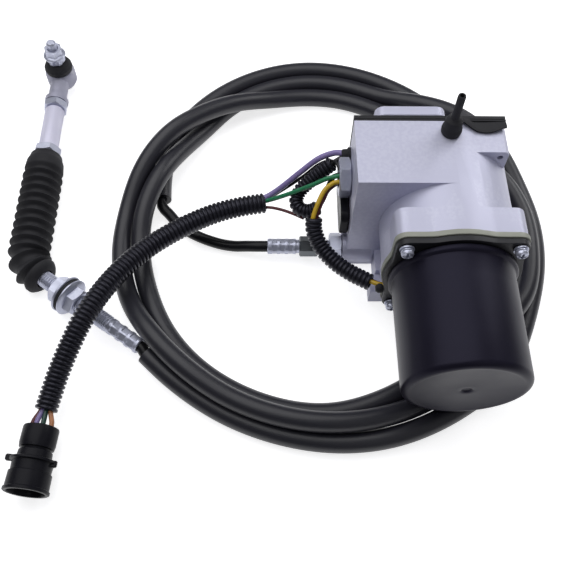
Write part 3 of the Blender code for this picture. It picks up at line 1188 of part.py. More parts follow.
def add_sensor(seat_y):
    """Adds the cast sensor housing and the position sensor in it."""
    shape = rounded_rectangle(SENSOR_HOUSING_LEFT, SENSOR_HOUSING_BOTTOM, SENSOR_HOUSING_RIGHT, CASE_TOP - 0.0002, SENSOR_HOUSING_CORNER)
    housing = prism("sensor_housing", "cast_aluminium", shape, seat_y, seat_y + SENSOR_HOUSING_REACH)
    room = cylinder_mesh("sensor_room", SENSOR_RADIUS + SEAT_GAP, (OUTPUT_X, seat_y - 0.001, OUTPUT_Z), (0, 1, 0), 0.001 + SENSOR_LENGTH + SEAT_GAP, 28)
    combine(housing, "DIFFERENCE", "sensor_room", room)
    start = sensor_start()
    end = seat_y + SENSOR_LENGTH - start
    hole = OUTPUT_SHAFT_RADIUS + RUNNING_GAP
    revolved("position_sensor", "black_plastic", [(hole, 0), (SENSOR_RADIUS - 0.004, 0), (SENSOR_RADIUS - 0.004, 0.0012), (SENSOR_RADIUS, 0.0022),
                                                  (SENSOR_RADIUS, end), (0, end), (0, SENSOR_INSET), (hole, SENSOR_INSET)],
             (OUTPUT_X, start, OUTPUT_Z), (0, 1, 0), 28, closed=True)


def add_outlet():
    """Adds the black side plate, the gland nut above it and the motor lead's grommet."""
    left = -CASE_LEFT - SEAT_GAP
    wide = OUTLET_WIDTH / 2
    high = OUTLET_HEIGHT / 2
    shape = rounded_rectangle(OUTLET_Y - wide, OUTLET_Z - high, OUTLET_Y + wide, OUTLET_Z + high, OUTLET_CORNER)

    def build(mesh_shape):
        corners = [mesh_shape.verts.new((left, y, z)) for y, z in shape]
        face = mesh_shape.faces.new(corners)
        grown = bmesh.ops.extrude_face_region(mesh_shape, geom=[face])
        moved = [item for item in grown["geom"] if isinstance(item, bmesh.types.BMVert)]
        bmesh.ops.translate(mesh_shape, verts=moved, vec=(-OUTLET_THICKNESS, 0, 0))
    add_object("side_plate", mesh_from(build, "side_plate"), "black_plastic")
    hex_nut("gland_nut", "zinc", GLAND_HEX, GLAND_THICKNESS, GLAND_BORE, (left, GLAND_Y, GLAND_Z), (-1, 0, 0), 0)
    revolved("lead_grommet", "rubber", [(0, 0), (GROMMET_RADIUS, 0), (GROMMET_RADIUS, 0.0022), (GROMMET_RADIUS - 0.0006, 0.0036), (0, 0.0036)],
             (GROMMET_X, GROMMET_Y, GROMMET_Z), (-1, 0, 0), 16)


def add_vent():
    """Adds the rubber vent nipple: a bulged foot and a slim open stem."""
    base = VENT_BASE_RADIUS
    stem = VENT_STEM_RADIUS
    height = VENT_BASE_HEIGHT
    top = height + VENT_STEM_LENGTH
    profile = [(0, 0), (base, 0), (base * 1.04, 0.0024), (base, 0.0046), (base * 0.93, 0.005),
               (base * 0.93, height - 0.003), (base * 0.72, height - 0.0006), (stem, height),
               (stem * 0.9, top - 0.001), (stem * 0.78, top), (VENT_BORE_RADIUS, top),
               (VENT_BORE_RADIUS, top - 0.012), (0, top - 0.012)]
    revolved("vent_nipple", "rubber", profile, (VENT_X, VENT_Y, CASE_TOP + SEAT_GAP), (0, 0, 1), 24)


def cord(name, material, points, diameter, resolution):
    """Adds a cord as a POLY curve with a round section and filled ends."""
    data = bpy.data.curves.new(name, "CURVE")
    data.dimensions = "3D"
    data.bevel_depth = diameter / 2
    data.bevel_resolution = resolution
    data.use_fill_caps = True
    data.resolution_u = 1
    spline = data.splines.new("POLY")
    spline.points.add(len(points) - 1)
    for target, point in zip(spline.points, points):
        target.co = (*point, 1.0)
    data.materials.append(finish(material))
    thing = bpy.data.objects.new(name, data)
    bpy.context.scene.collection.objects.link(thing)
    return thing


def sleeved_cord(name, before, sleeve, after, diameter, thin, spacing):
    """Adds a loom as one tube that is thinner where only its wires run, before and after the sleeve."""
    fine = 0.0005
    run = route(before + sleeve + after, fine)
    first = nearest(run, sleeve[0])
    last = nearest(run, sleeve[-1])
    points = []
    scales = []
    for start, stop, width in ((0, first - 1, thin[0]), (first, last, diameter), (last + 1, len(run) - 1, thin[1])):
        count = max(int(round((stop - start) * fine / spacing)), 2)
        for step in range(count + 1):
            points.append(run[start + (stop - start) * step // count])
            scales.append(width / diameter)
    thing = cord(name, "black_plastic", points, diameter, 2)
    for point, scale in zip(thing.data.splines[0].points, scales):
        point.radius = scale


def nearest(run, spot):
    """Returns the index of the point on a run that lies nearest to a spot given in millimetres."""
    target = Vector(spot) / 1000
    return min(range(len(run)), key=lambda index: (run[index] - target).length)


def even_slopes(places, values):
    """Returns slopes that keep a curve through the values free of overshoot."""
    gaps = np.diff(places)
    rises = np.diff(values) / gaps
    slopes = np.zeros(len(values))
    for index in range(1, len(values) - 1):
        before, after = rises[index - 1], rises[index]
        if before * after > 0:
            first = 2 * gaps[index] + gaps[index - 1]
            second = gaps[index] + 2 * gaps[index - 1]
            slopes[index] = (first + second) / (first / before + second / after)
    return slopes


def between(places, values, slopes, place):
    """Reads a smooth curve through the values at one place."""
    index = int(np.clip(np.searchsorted(places, place) - 1, 0, len(places) - 2))
    gap = places[index + 1] - places[index]
    t = (place - places[index]) / gap
    return ((2 * t ** 3 - 3 * t ** 2 + 1) * values[index] + (t ** 3 - 2 * t ** 2 + t) * gap * slopes[index]
            + (3 * t ** 2 - 2 * t ** 3) * values[index + 1] + (t ** 3 - t ** 2) * gap * slopes[index + 1])


def hose_points():
    """Returns the hose's points at the same angles on each turn, so that its turns keep their spacing."""
    table = np.array(HOSE_ROUTE, dtype=float)
    turned = -table[:, 0]
    radius_slopes = even_slopes(turned, table[:, 1])
    height_slopes = even_slopes(turned, table[:, 2])
    angles = [HOSE_STATION_PHASE + 360.0 * index / HOSE_STATIONS_PER_TURN for index in range(HOSE_STATIONS_PER_TURN)]
    angles.append(HOSE_CROSSING_STATION)
    stations = [360.0 * turn - angle for turn in range(0, 4) for angle in angles]
    stations = [place for place in stations if turned[0] + 5 < place < turned[-1] - 5]
    stations = sorted(stations + [turned[0], turned[-1]])
    points = []
    for station in stations:
        radius = between(turned, table[:, 1], radius_slopes, station) / 1000
        height = between(turned, table[:, 2], height_slopes, station) / 1000
        angle = math.radians(-station)
        points.append(RING_CENTRE + Vector((radius * math.cos(angle), radius * math.sin(angle), height)))
    return points


def route(points, spacing):
    """Returns a smooth run in metres through points given in millimetres."""
    return smooth_path([Vector(p) / 1000 for p in points], spacing)


def add_cords():
    """Adds the hose, the thin conduit at each end, the looms and the loose wires."""
    cord("cable_hose", "hose", hose_points(), HOSE_DIAMETER, 2)
    hose = hose_points()
    enter = (hose[1] - hose[0]).normalized()
    near_end = Vector((near_fitting_end() - CORD_GAP, CABLE_Y, CABLE_Z))
    near = [near_end, near_end + Vector((-0.006, 0, 0))] + [Vector(p) / 1000 for p in CONDUIT_ROUTE]
    near += [hose[0] - enter * 0.005, hose[0] - enter * CORD_GAP]
    cord("near_conduit", "rubber", smooth_path(near, 0.005), CONDUIT_DIAMETER, 2)
    leave = (hose[-1] - hose[-2]).normalized()
    ahead = far_direction()
    far = [hose[-1] + leave * CORD_GAP, hose[-1] + leave * 2 * CORD_GAP]
    far += [FAR_FERRULE - ahead * 2 * CORD_GAP, FAR_FERRULE - ahead * CORD_GAP]
    cord("far_conduit", "rubber", far, CONDUIT_DIAMETER, 2)
    sleeved_cord("main_loom", LOOM_TO_GLAND, LOOM_ROUTE, LOOM_TO_PLUG, LOOM_DIAMETER, (WIRE_RUN, TAIL_DIAMETER), 0.012)
    sleeved_cord("motor_loom", MOTOR_TO_GLAND, MOTOR_LOOM_ROUTE, MOTOR_TO_GROMMET, MOTOR_LOOM_DIAMETER, (WIRE_RUN, WIRE_RUN), 0.007)
    sleeved_cord("sensor_loom", SENSOR_TO_WALL, SENSOR_LOOM_ROUTE, SENSOR_TO_GLAND, SENSOR_LOOM_DIAMETER, (WIRE_RUN, WIRE_RUN), 0.006)


def add_plug():
    """Adds the round plug with its socket, ribs and side ears, and its contact pins."""
    direction = (PLUG_END - PLUG_START).normalized()
    length = (PLUG_END - PLUG_START).length
    rear, waist, shell = PLUG_REAR_RADIUS, PLUG_WAIST_RADIUS, PLUG_SHELL_RADIUS
    socket = PLUG_SOCKET_RADIUS
    profile = [(0, 0.003), (rear - 0.0018, 0.003), (rear - 0.0018, 0), (rear, 0), (rear, length * 0.34), (waist - 0.0006, length * 0.355), (waist - 0.0006, length * 0.38),
               (waist + 0.0004, length * 0.39), (waist + 0.0004, length * 0.5), (shell + 0.0008, length * 0.51), (shell + 0.0008, length * 0.55), (shell - 0.0008, length * 0.56),
               (shell - 0.0008, length * 0.7), (shell, length * 0.72), (shell, length * 0.95), (shell + 0.0006, length * 0.965), (shell + 0.0006, length), (socket, length),
               (socket, length - PLUG_SOCKET_DEPTH), (0, length - PLUG_SOCKET_DEPTH)]
    revolved("plug_body", "black_plastic", profile, PLUG_START, direction, 28)
    across = direction.cross(Vector((0, 0, 1))).normalized()
    up = across.cross(direction)
    floor = PLUG_END - direction * (PLUG_SOCKET_DEPTH - SEAT_GAP)
    for index in range(PIN_COUNT):
        angle = 2 * math.pi * index / PIN_COUNT
        spot = floor + (across * math.cos(angle) + up * math.sin(angle)) * PIN_CIRCLE
        revolved(f"contact_pin_{index + 1}", "brass", [(0, 0), (PIN_RADIUS, 0), (PIN_RADIUS, PIN_LENGTH - 0.0008), (PIN_RADIUS * 0.4, PIN_LENGTH), (0, PIN_LENGTH)],
                 spot, direction, 8)


def main():
    """Builds the whole actuator."""
    clear_scene()
    add_case()
    add_motor()
    add_gear_train()
    add_crosshead()
    add_near_cable_end()
    add_far_cable_end()
    add_boot()
    add_rod_end()
    add_rear()
    add_outlet()
    add_vent()
    add_cords()
    add_plug()


main()
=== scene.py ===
"""Looks of an engine governor actuator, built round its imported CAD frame.

Metres, +Z up, in the frame's own axes: the motor points along -Y and the cable
leaves the case along -X. Sizes that are easier to read in millimetres go
through mm() or run().
"""

import json
import logging
import math
from dataclasses import dataclass
from enum import Enum
from typing import Callable, Dict, List, Optional, Sequence, Tuple, Union

import bpy
import numpy as np
from mathutils import Matrix, Vector

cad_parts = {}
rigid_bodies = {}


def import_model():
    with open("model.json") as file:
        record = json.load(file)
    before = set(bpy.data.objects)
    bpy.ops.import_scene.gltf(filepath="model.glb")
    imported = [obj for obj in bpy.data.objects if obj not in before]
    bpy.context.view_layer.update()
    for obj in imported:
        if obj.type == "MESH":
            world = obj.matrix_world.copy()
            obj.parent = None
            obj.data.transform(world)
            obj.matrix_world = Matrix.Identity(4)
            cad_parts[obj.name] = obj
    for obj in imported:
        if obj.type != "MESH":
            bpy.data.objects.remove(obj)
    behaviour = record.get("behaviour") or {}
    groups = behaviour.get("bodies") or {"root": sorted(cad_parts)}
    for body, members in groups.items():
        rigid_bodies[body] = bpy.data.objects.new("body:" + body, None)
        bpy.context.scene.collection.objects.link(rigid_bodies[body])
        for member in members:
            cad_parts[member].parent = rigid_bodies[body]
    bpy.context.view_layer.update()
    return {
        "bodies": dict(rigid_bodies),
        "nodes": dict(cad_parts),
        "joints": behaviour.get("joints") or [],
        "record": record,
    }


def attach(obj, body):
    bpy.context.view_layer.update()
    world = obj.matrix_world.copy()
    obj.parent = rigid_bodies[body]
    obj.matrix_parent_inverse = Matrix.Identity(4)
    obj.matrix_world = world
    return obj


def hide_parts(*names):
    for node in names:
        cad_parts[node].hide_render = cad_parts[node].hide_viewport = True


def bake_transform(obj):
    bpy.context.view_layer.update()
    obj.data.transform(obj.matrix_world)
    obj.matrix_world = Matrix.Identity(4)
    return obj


LOG = logging.getLogger("actuator")
Triple = Tuple[float, float, float]
Profile = Sequence[Tuple[float, ...]]
Inputs = Dict[Union[str, int], object]

AXIS_HEIGHT = 0.0445
DOWN_MOTOR = (0.0, -1.0, 0.0)
OUT_LEFT = (-1.0, 0.0, 0.0)
UP = (0.0, 0.0, 1.0)
ALONG_ROD = (0.0, 1.0, 0.0)

CURVE_STEPS = 24
POINT_RADIUS = 1e-7
AXIS_SAMPLE = 0.01
THREAD_STEPS = 8
THREAD_RUN_OUT = 0.8
THREAD_CREST = 0.8
NUT_SIDES = 72
NUT_CHAMFER_SHARE = 0.955
NUT_CHAMFER_DEGREES = 28
NUT_BORE_EASE = 0.0005
REFRACTIVE_INDEX = 1.5
SCUFF_ROUGHNESS = 0.12
WEAR_BREAK_UP = 500.0


def mm(x: float, y: float, z: float) -> Vector:
    """Returns a point given in millimetres."""
    return Vector((x, y, z)) / 1000


def run(points: Sequence[Triple]) -> List[Vector]:
    """Returns points given in millimetres."""
    return [mm(*point) for point in points]


def smooth_path(points: Sequence[Vector], spacing: float) -> List[Vector]:
    """Runs a smooth curve through points.

    Args:
        points: The points that the curve passes.
        spacing: Distance between the returned points.

    Returns:
        Evenly spaced points on the curve, both ends included.
    """
    padded = [2 * points[0] - points[1]] + list(points) + [2 * points[-1] - points[-2]]
    dense = []
    for index in range(1, len(padded) - 2):
        before, here, after, beyond = padded[index - 1:index + 3]
        for step in range(CURVE_STEPS):
            t = step / CURVE_STEPS
            dense.append(0.5 * ((2 * here) + (after - before) * t
                                + (2 * before - 5 * here + 4 * after - beyond) * t * t
                                + (3 * here - before - 3 * after + beyond) * t ** 3))
    dense.append(points[-1])
    table = np.array([tuple(p) for p in dense])
    lengths = run_lengths(table)
    count = max(int(round(lengths[-1] / spacing)), 2)
    targets = np.linspace(0, lengths[-1], count + 1)
    columns = [np.interp(targets, lengths, table[:, axis]) for axis in range(3)]
    return [Vector(c) for c in zip(*columns)]


def run_lengths(table: np.ndarray) -> np.ndarray:
    """Returns the distance along a line of points at each of them."""
    return np.concatenate([[0.0], np.cumsum(np.linalg.norm(np.diff(table, axis=0), axis=1))])


def frames_along(table: np.ndarray) -> Tuple[np.ndarray, np.ndarray]:
    """Carries a pair of cross directions along a line without twist.

    Args:
        table: The line's points, one a row.

    Returns:
        Two arrays of unit vectors square to the line.
    """
    tangents = np.gradient(table, axis=0)
    tangents /= np.linalg.norm(tangents, axis=1)[:, None]
    guide = np.array([0.0, 0.0, 1.0])
    if abs(tangents[0] @ guide) > 0.9:
        guide = np.array([1.0, 0.0, 0.0])
    side = np.cross(tangents[0], guide)
    sides = []
    for tangent in tangents:
        side = side - tangent * (side @ tangent)
        side = side / np.linalg.norm(side)
        sides.append(side)
    first = np.array(sides)
    return first, np.cross(tangents, first)


def bands(rows: int, sides: int, start: int = 0, closed: bool = False) -> List[Sequence[int]]:
    """Lists the faces between rings that follow each other in a mesh.

    Args:
        rows: Number of rings.
        sides: Points in each ring.
        start: The first ring's first point.
        closed: Joins the last ring to the first.

    Returns:
        The corners of each face.
    """
    faces: List[Sequence[int]] = []
    for row in range(rows if closed else rows - 1):
        low, high = start + row * sides, start + (row + 1) % rows * sides
        for index in range(sides):
            after = (index + 1) % sides
            faces.append((low + index, low + after, high + after, high + index))
    return faces


def soft_object(name: str, vertices: np.ndarray, faces: Sequence[Sequence[int]],
                angle: float = 32.0) -> bpy.types.Object:
    """Makes a smooth-shaded object whose sharper edges stay crisp.

    Args:
        name: The object's name.
        vertices: Points in metres, one a row.
        faces: Corner indices of each face.
        angle: Edges that turn more than this many degrees stay sharp.

    Returns:
        The new object, linked to the scene.
    """
    mesh = bpy.data.meshes.new(name)
    mesh.from_pydata([tuple(v) for v in vertices], [], [tuple(f) for f in faces])
    mesh.validate()
    mesh.update()
    mesh.shade_smooth()
    mesh.set_sharp_from_angle(angle=math.radians(angle))
    thing = bpy.data.objects.new(name, mesh)
    bpy.context.scene.collection.objects.link(thing)
    return thing


def turned(name: str, path: Sequence[Vector], profile: Profile, sides: int = 48, closed: bool = False,
           turn: float = 0.0, angle: float = 32.0) -> bpy.types.Object:
    """Sweeps a round or six-sided profile along a line.

    Args:
        name: The object's name.
        path: The line, straight or bent.
        profile: (distance along, radius) or (distance along, radius, share of a hexagon) at each ring.
        sides: Points round each ring.
        closed: Joins the last ring to the first, which leaves a tube with a wall.
        turn: Turns the section about the line, in degrees.
        angle: Edges that turn more than this many degrees stay sharp.

    Returns:
        The new object.
    """
    table = np.array([tuple(p) for p in path], float)
    lengths = run_lengths(table)
    first, second = frames_along(table)
    enter, leave = (step / np.linalg.norm(step) for step in (table[1] - table[0], table[-1] - table[-2]))
    vertices: List[np.ndarray] = []
    rings: List[List[int]] = []
    spins = 2 * np.pi * np.arange(sides) / sides
    angles = spins + math.radians(turn)
    sector = np.pi / 3
    flat = math.cos(np.pi / 6) / np.cos((spins % sector) - sector / 2)
    for place, radius, *rest in profile:
        spot, u, v = (np.array([np.interp(place, lengths, rows[:, axis]) for axis in range(3)])
                      for rows in (table, first, second))
        spot = spot + enter * min(place, 0.0) + leave * max(place - lengths[-1], 0.0)
        if radius < POINT_RADIUS:
            rings.append([len(vertices)] * sides)
            vertices.append(spot)
            continue
        hexness = rest[0] if rest else 0.0
        reach = radius * (1 + hexness * (flat - 1))
        rings.append(list(range(len(vertices), len(vertices) + sides)))
        vertices.extend(spot + reach[:, None] * (np.cos(angles)[:, None] * u + np.sin(angles)[:, None] * v))
    pairs = list(zip(rings[:-1], rings[1:]))
    if closed:
        pairs.append((rings[-1], rings[0]))
    faces = []
    for lower, upper in pairs:
        for index in range(sides):
            after = (index + 1) % sides
            corners = [lower[index], upper[index], upper[after], lower[after]]
            unique = list(dict.fromkeys(corners))
            if len(unique) > 2:
                faces.append(unique)
    if not closed:
        for ring, flip in ((rings[0], False), (rings[-1], True)):
            if len(set(ring)) > 2:
                faces.append(ring[::-1] if flip else ring)
    return soft_object(name, np.array(vertices), faces, angle)


def lathed(name: str, start: Vector, direction: Sequence[float], profile: Profile, sides: int = 48,
           closed: bool = False, turn: float = 0.0) -> bpy.types.Object:
    """Turns a round or six-sided profile on a straight axis; see turned()."""
    axis = [Vector(start), Vector(start) + Vector(direction).normalized() * AXIS_SAMPLE]
    return turned(name, axis, profile, sides, closed, turn)


def cross_axes(direction: Sequence[float]) -> Tuple[Vector, Vector, Vector]:
    """Returns a direction and two directions square to it, all of unit length."""
    axis = Vector(direction).normalized()
    side = axis.orthogonal().normalized()
    return axis, side, axis.cross(side)


def around(start: Vector, axes: Tuple[Vector, Vector, Vector], place: float, reach: float,
           angle: float) -> Tuple[float, ...]:
    """Returns the point at a place along an axis, by its reach and angle round it."""
    axis, side, other = axes
    return tuple(Vector(start) + axis * place + (side * math.cos(angle) + other * math.sin(angle)) * reach)


def tube(name: str, path: Sequence[Vector], radius: float, sides: int = 20) -> bpy.types.Object:
    """Makes a solid round cord along a line of points."""
    lengths = run_lengths(np.array([tuple(p) for p in path]))
    profile = [(0.0, 0.0)] + [(place, radius) for place in lengths] + [(lengths[-1], 0.0)]
    return turned(name, path, profile, sides)


def thread(name: str, start: Vector, direction: Sequence[float], length: float, radius: float, pitch: float,
           depth: float, sides: int = 36) -> bpy.types.Object:
    """Makes a rod with one rolled helical thread.

    Args:
        name: The object's name.
        start: Centre of the rod's first end.
        direction: The rod's axis.
        length: The rod's length.
        radius: Radius over the crests.
        pitch: Distance between crests.
        depth: How far the roots lie under the crests.
        sides: Points round each ring.

    Returns:
        The new object.
    """
    axes = cross_axes(direction)
    steps = max(int(length / pitch * THREAD_STEPS), THREAD_STEPS)
    run_out = pitch * THREAD_RUN_OUT
    vertices = [tuple(start)]
    for step in range(steps + 1):
        place = length * step / steps
        fade = min(1.0, place / run_out, (length - place) / run_out)
        for index in range(sides):
            phase = (place / pitch - index / sides) % 1.0
            dip = depth * (0.5 + 0.5 * math.cos(2 * math.pi * phase)) ** THREAD_CREST
            reach = radius - depth * (1 - fade) - dip * fade
            vertices.append(around(start, axes, place, reach, 2 * math.pi * index / sides))
    vertices.append(tuple(Vector(start) + axes[0] * length))
    last = len(vertices) - 1
    faces = bands(steps + 1, sides, 1)
    for index in range(sides):
        after = (index + 1) % sides
        faces += [(0, 1 + after, 1 + index), (last, last - sides + index, last - sides + after)]
    return soft_object(name, np.array(vertices), faces, 60)


def hexagon(name: str, start: Vector, direction: Sequence[float], flats: float, height: float, bore: float,
            turn: float = 0.0) -> bpy.types.Object:
    """Makes a nut whose corners are cut by a cone at both ends.

    Args:
        name: The object's name.
        start: Centre of the face that lies against its neighbour.
        direction: From that face to the other one.
        flats: Width across the flats.
        height: Thickness.
        bore: Radius of the hole.
        turn: Turns the nut about its axis, in degrees.

    Returns:
        The new object.
    """
    axes = cross_axes(direction)
    inner = flats / 2 * NUT_CHAMFER_SHARE
    rings = []
    for index in range(NUT_SIDES):
        angle = 2 * math.pi * index / NUT_SIDES
        outer = flats / 2 / math.cos((angle % (math.pi / 3)) - math.pi / 6)
        drop = (outer - inner) * math.tan(math.radians(NUT_CHAMFER_DEGREES))
        section = [(bore, 0.0), (inner, 0.0), (outer, drop), (outer, height - drop), (inner, height),
                   (bore + NUT_BORE_EASE, height), (bore, height - NUT_BORE_EASE)]
        spin = angle + math.radians(turn)
        rings.append([around(start, axes, level, reach, spin) for reach, level in section])
    vertices = [column[row] for row in range(len(rings[0])) for column in rings]
    faces = bands(len(rings[0]), NUT_SIDES, closed=True)
    return soft_object(name, np.array(vertices), faces, 25)


def ease_edges(thing: bpy.types.Object, width: float, segments: int = 3,
               angle: float = 35.0) -> bpy.types.Object:
    """Rounds the edges of a CAD piece through modifiers, which leaves its mesh as it is.

    Args:
        thing: The CAD piece.
        width: Width of the rounding.
        segments: Steps across it.
        angle: Only edges that turn more than this many degrees are rounded.

    Returns:
        The same piece.
    """
    weld = thing.modifiers.new("join_split_points", "WELD")
    weld.merge_threshold = 2e-6
    flat = thing.modifiers.new("flat_faces", "DECIMATE")
    flat.decimate_type = "DISSOLVE"
    flat.angle_limit = math.radians(0.4)
    bevel = thing.modifiers.new("eased_edges", "BEVEL")
    bevel.width = width
    bevel.segments = segments
    bevel.limit_method = "ANGLE"
    bevel.angle_limit = math.radians(angle)
    bevel.miter_outer = "MITER_ARC"
    bevel.use_clamp_overlap = True
    bevel.harden_normals = False
    smooth = thing.modifiers.new("even_normals", "WEIGHTED_NORMAL")
    smooth.keep_sharp = False
    smooth.weight = 60
    return thing


class Effect(Enum):
    """The shared shader effects."""

    GRAIN = "surface grain"
    MARKS = "handling marks"
    WEAR = "worn edges"
    LINES = "turned lines"


class Nodes:
    """Builds a shader tree: each new node takes plain values or other nodes' sockets."""

    def __init__(self, tree: bpy.types.NodeTree) -> None:
        """Starts from an empty tree."""
        tree.nodes.clear()
        self.tree = tree

    def add(self, kind: str, inputs: Optional[Inputs] = None, operation: str = "") -> bpy.types.Node:
        """Adds one node.

        Args:
            kind: The node's type.
            inputs: A value or a source socket for each input, by its name or place.
            operation: What a maths node works out.

        Returns:
            The new node.
        """
        node = self.tree.nodes.new(kind)
        if operation:
            node.operation = operation
        for label, value in (inputs or {}).items():
            self.feed(node.inputs[label], value)
        return node

    def feed(self, socket: bpy.types.NodeSocket, value: object) -> None:
        """Links a source to an input, or gives the input a value."""
        if isinstance(value, bpy.types.NodeSocket):
            self.tree.links.new(value, socket)
        else:
            socket.default_value = value

    def maths(self, operation: str, *values: object) -> bpy.types.NodeSocket:
        """Returns the result of a sum on values and sockets."""
        return self.add("ShaderNodeMath", dict(enumerate(values)), operation).outputs[0]

    def spread(self, value: object, low: object, high: float, to_low: float = 0.0,
               to_high: float = 1.0) -> bpy.types.NodeSocket:
        """Returns a value stretched from one range to another."""
        ends = {"From Min": low, "From Max": high, "To Min": to_low, "To Max": to_high}
        return self.add("ShaderNodeMapRange", {"Value": value, **ends}).outputs["Result"]

    def noise(self, place: object, scale: object, detail: int,
              distortion: float = 0.0) -> bpy.types.NodeSocket:
        """Returns a soft noise."""
        inputs = {"Vector": place, "Scale": scale, "Detail": detail, "Distortion": distortion}
        return self.add("ShaderNodeTexNoise", inputs).outputs["Fac"]

    def mix(self, share: object, first: object, second: object) -> bpy.types.NodeSocket:
        """Returns a colour between two, by a share that changes over the surface."""
        node = self.add("ShaderNodeMix")
        node.data_type = "RGBA"
        for place, value in ((0, share), (6, first), (7, second)):
            self.feed(node.inputs[place], value)
        return node.outputs[2]


class Effects:
    """Builds each shared effect once, as a node group that puts out values only."""

    made: Dict[Effect, bpy.types.NodeTree] = {}

    @classmethod
    def group(cls, effect: Effect) -> bpy.types.NodeTree:
        """Returns the effect's node group, building it at the first call."""
        if effect not in cls.made:
            makers = {Effect.GRAIN: cls.grain, Effect.MARKS: cls.marks, Effect.WEAR: cls.wear,
                      Effect.LINES: cls.lines}
            cls.made[effect] = makers[effect]()
        return cls.made[effect]

    @staticmethod
    def start(name: str, inputs: Dict[str, float], outputs: Sequence[str]) -> Tuple[Nodes, Inputs, object]:
        """Opens a group with number sockets.

        Args:
            name: The group's name.
            inputs: Each input's name and its starting value.
            outputs: The outputs' names.

        Returns:
            The group's builder, the sources of its inputs and the place on the piece.
        """
        tree = bpy.data.node_groups.new(name, "ShaderNodeTree")
        for label, value in inputs.items():
            socket = tree.interface.new_socket(label, in_out="INPUT", socket_type="NodeSocketFloat")
            socket.default_value = value
        for label in outputs:
            tree.interface.new_socket(label, in_out="OUTPUT", socket_type="NodeSocketFloat")
        nodes = Nodes(tree)
        place = nodes.add("ShaderNodeTexCoord").outputs["Object"]
        return nodes, nodes.add("NodeGroupInput").outputs, place

    @classmethod
    def grain(cls) -> bpy.types.NodeTree:
        """Fine blasted or moulded grain."""
        nodes, given, place = cls.start("surface_grain", {"Scale": 2500.0, "Coarse share": 0.3}, ["Height"])
        slower = nodes.maths("MULTIPLY", given["Scale"], 0.22)
        fine, coarse = nodes.noise(place, given["Scale"], 3), nodes.noise(place, slower, 2)
        mixed = nodes.add("ShaderNodeMix", {"Factor": given["Coarse share"], "A": fine, "B": coarse})
        nodes.add("NodeGroupOutput", {"Height": mixed.outputs["Result"]})
        return nodes.tree

    @classmethod
    def marks(cls) -> bpy.types.NodeTree:
        """Soft blotches where the piece was handled, with a few fine scratches."""
        outputs = ["Blotches", "Scratches"]
        nodes, given, place = cls.start("handling_marks", {"Scale": 60.0, "Scratches": 0.3}, outputs)
        cloud = nodes.noise(place, given["Scale"], 4, 0.6)
        turn = {"Vector": place, "Rotation": (0.5, 0.8, 0.3), "Scale": (1.0, 14.0, 9.0)}
        stretched = nodes.add("ShaderNodeMapping", turn).outputs["Vector"]
        hairs = nodes.spread(nodes.noise(stretched, given["Scale"], 1, 0.2), 0.70, 0.74)
        amount = nodes.maths("MULTIPLY", hairs, given["Scratches"])
        nodes.add("NodeGroupOutput", {"Blotches": cloud, "Scratches": amount})
        return nodes.tree

    @classmethod
    def wear(cls) -> bpy.types.NodeTree:
        """Rubbed edges, broken up by a noise."""
        nodes, given, place = cls.start("worn_edges", {"Spread": 0.04, "Break up": 400.0}, ["Mask"])
        sharpness = nodes.add("ShaderNodeNewGeometry").outputs["Pointiness"]
        edge = nodes.spread(sharpness, nodes.maths("SUBTRACT", 0.60, given["Spread"]), 0.64)
        chips = nodes.spread(nodes.noise(place, given["Break up"], 3), 0.42, 0.6)
        nodes.add("NodeGroupOutput", {"Mask": nodes.maths("MULTIPLY", edge, chips)})
        return nodes.tree

    @classmethod
    def lines(cls) -> bpy.types.NodeTree:
        """Fine lines left by drawing or turning, squeezed along one axis."""
        inputs = {"Along X": 1.0, "Along Y": 1.0, "Along Z": 1.0, "Scale": 300.0}
        nodes, given, place = cls.start("turned_lines", inputs, ["Height"])
        axes = {axis: given[f"Along {axis}"] for axis in "XYZ"}
        joined = nodes.add("ShaderNodeCombineXYZ", axes).outputs["Vector"]
        squeezed = nodes.add("ShaderNodeVectorMath", {0: place, 1: joined}, "MULTIPLY").outputs["Vector"]
        nodes.add("NodeGroupOutput", {"Height": nodes.noise(squeezed, given["Scale"], 4)})
        return nodes.tree


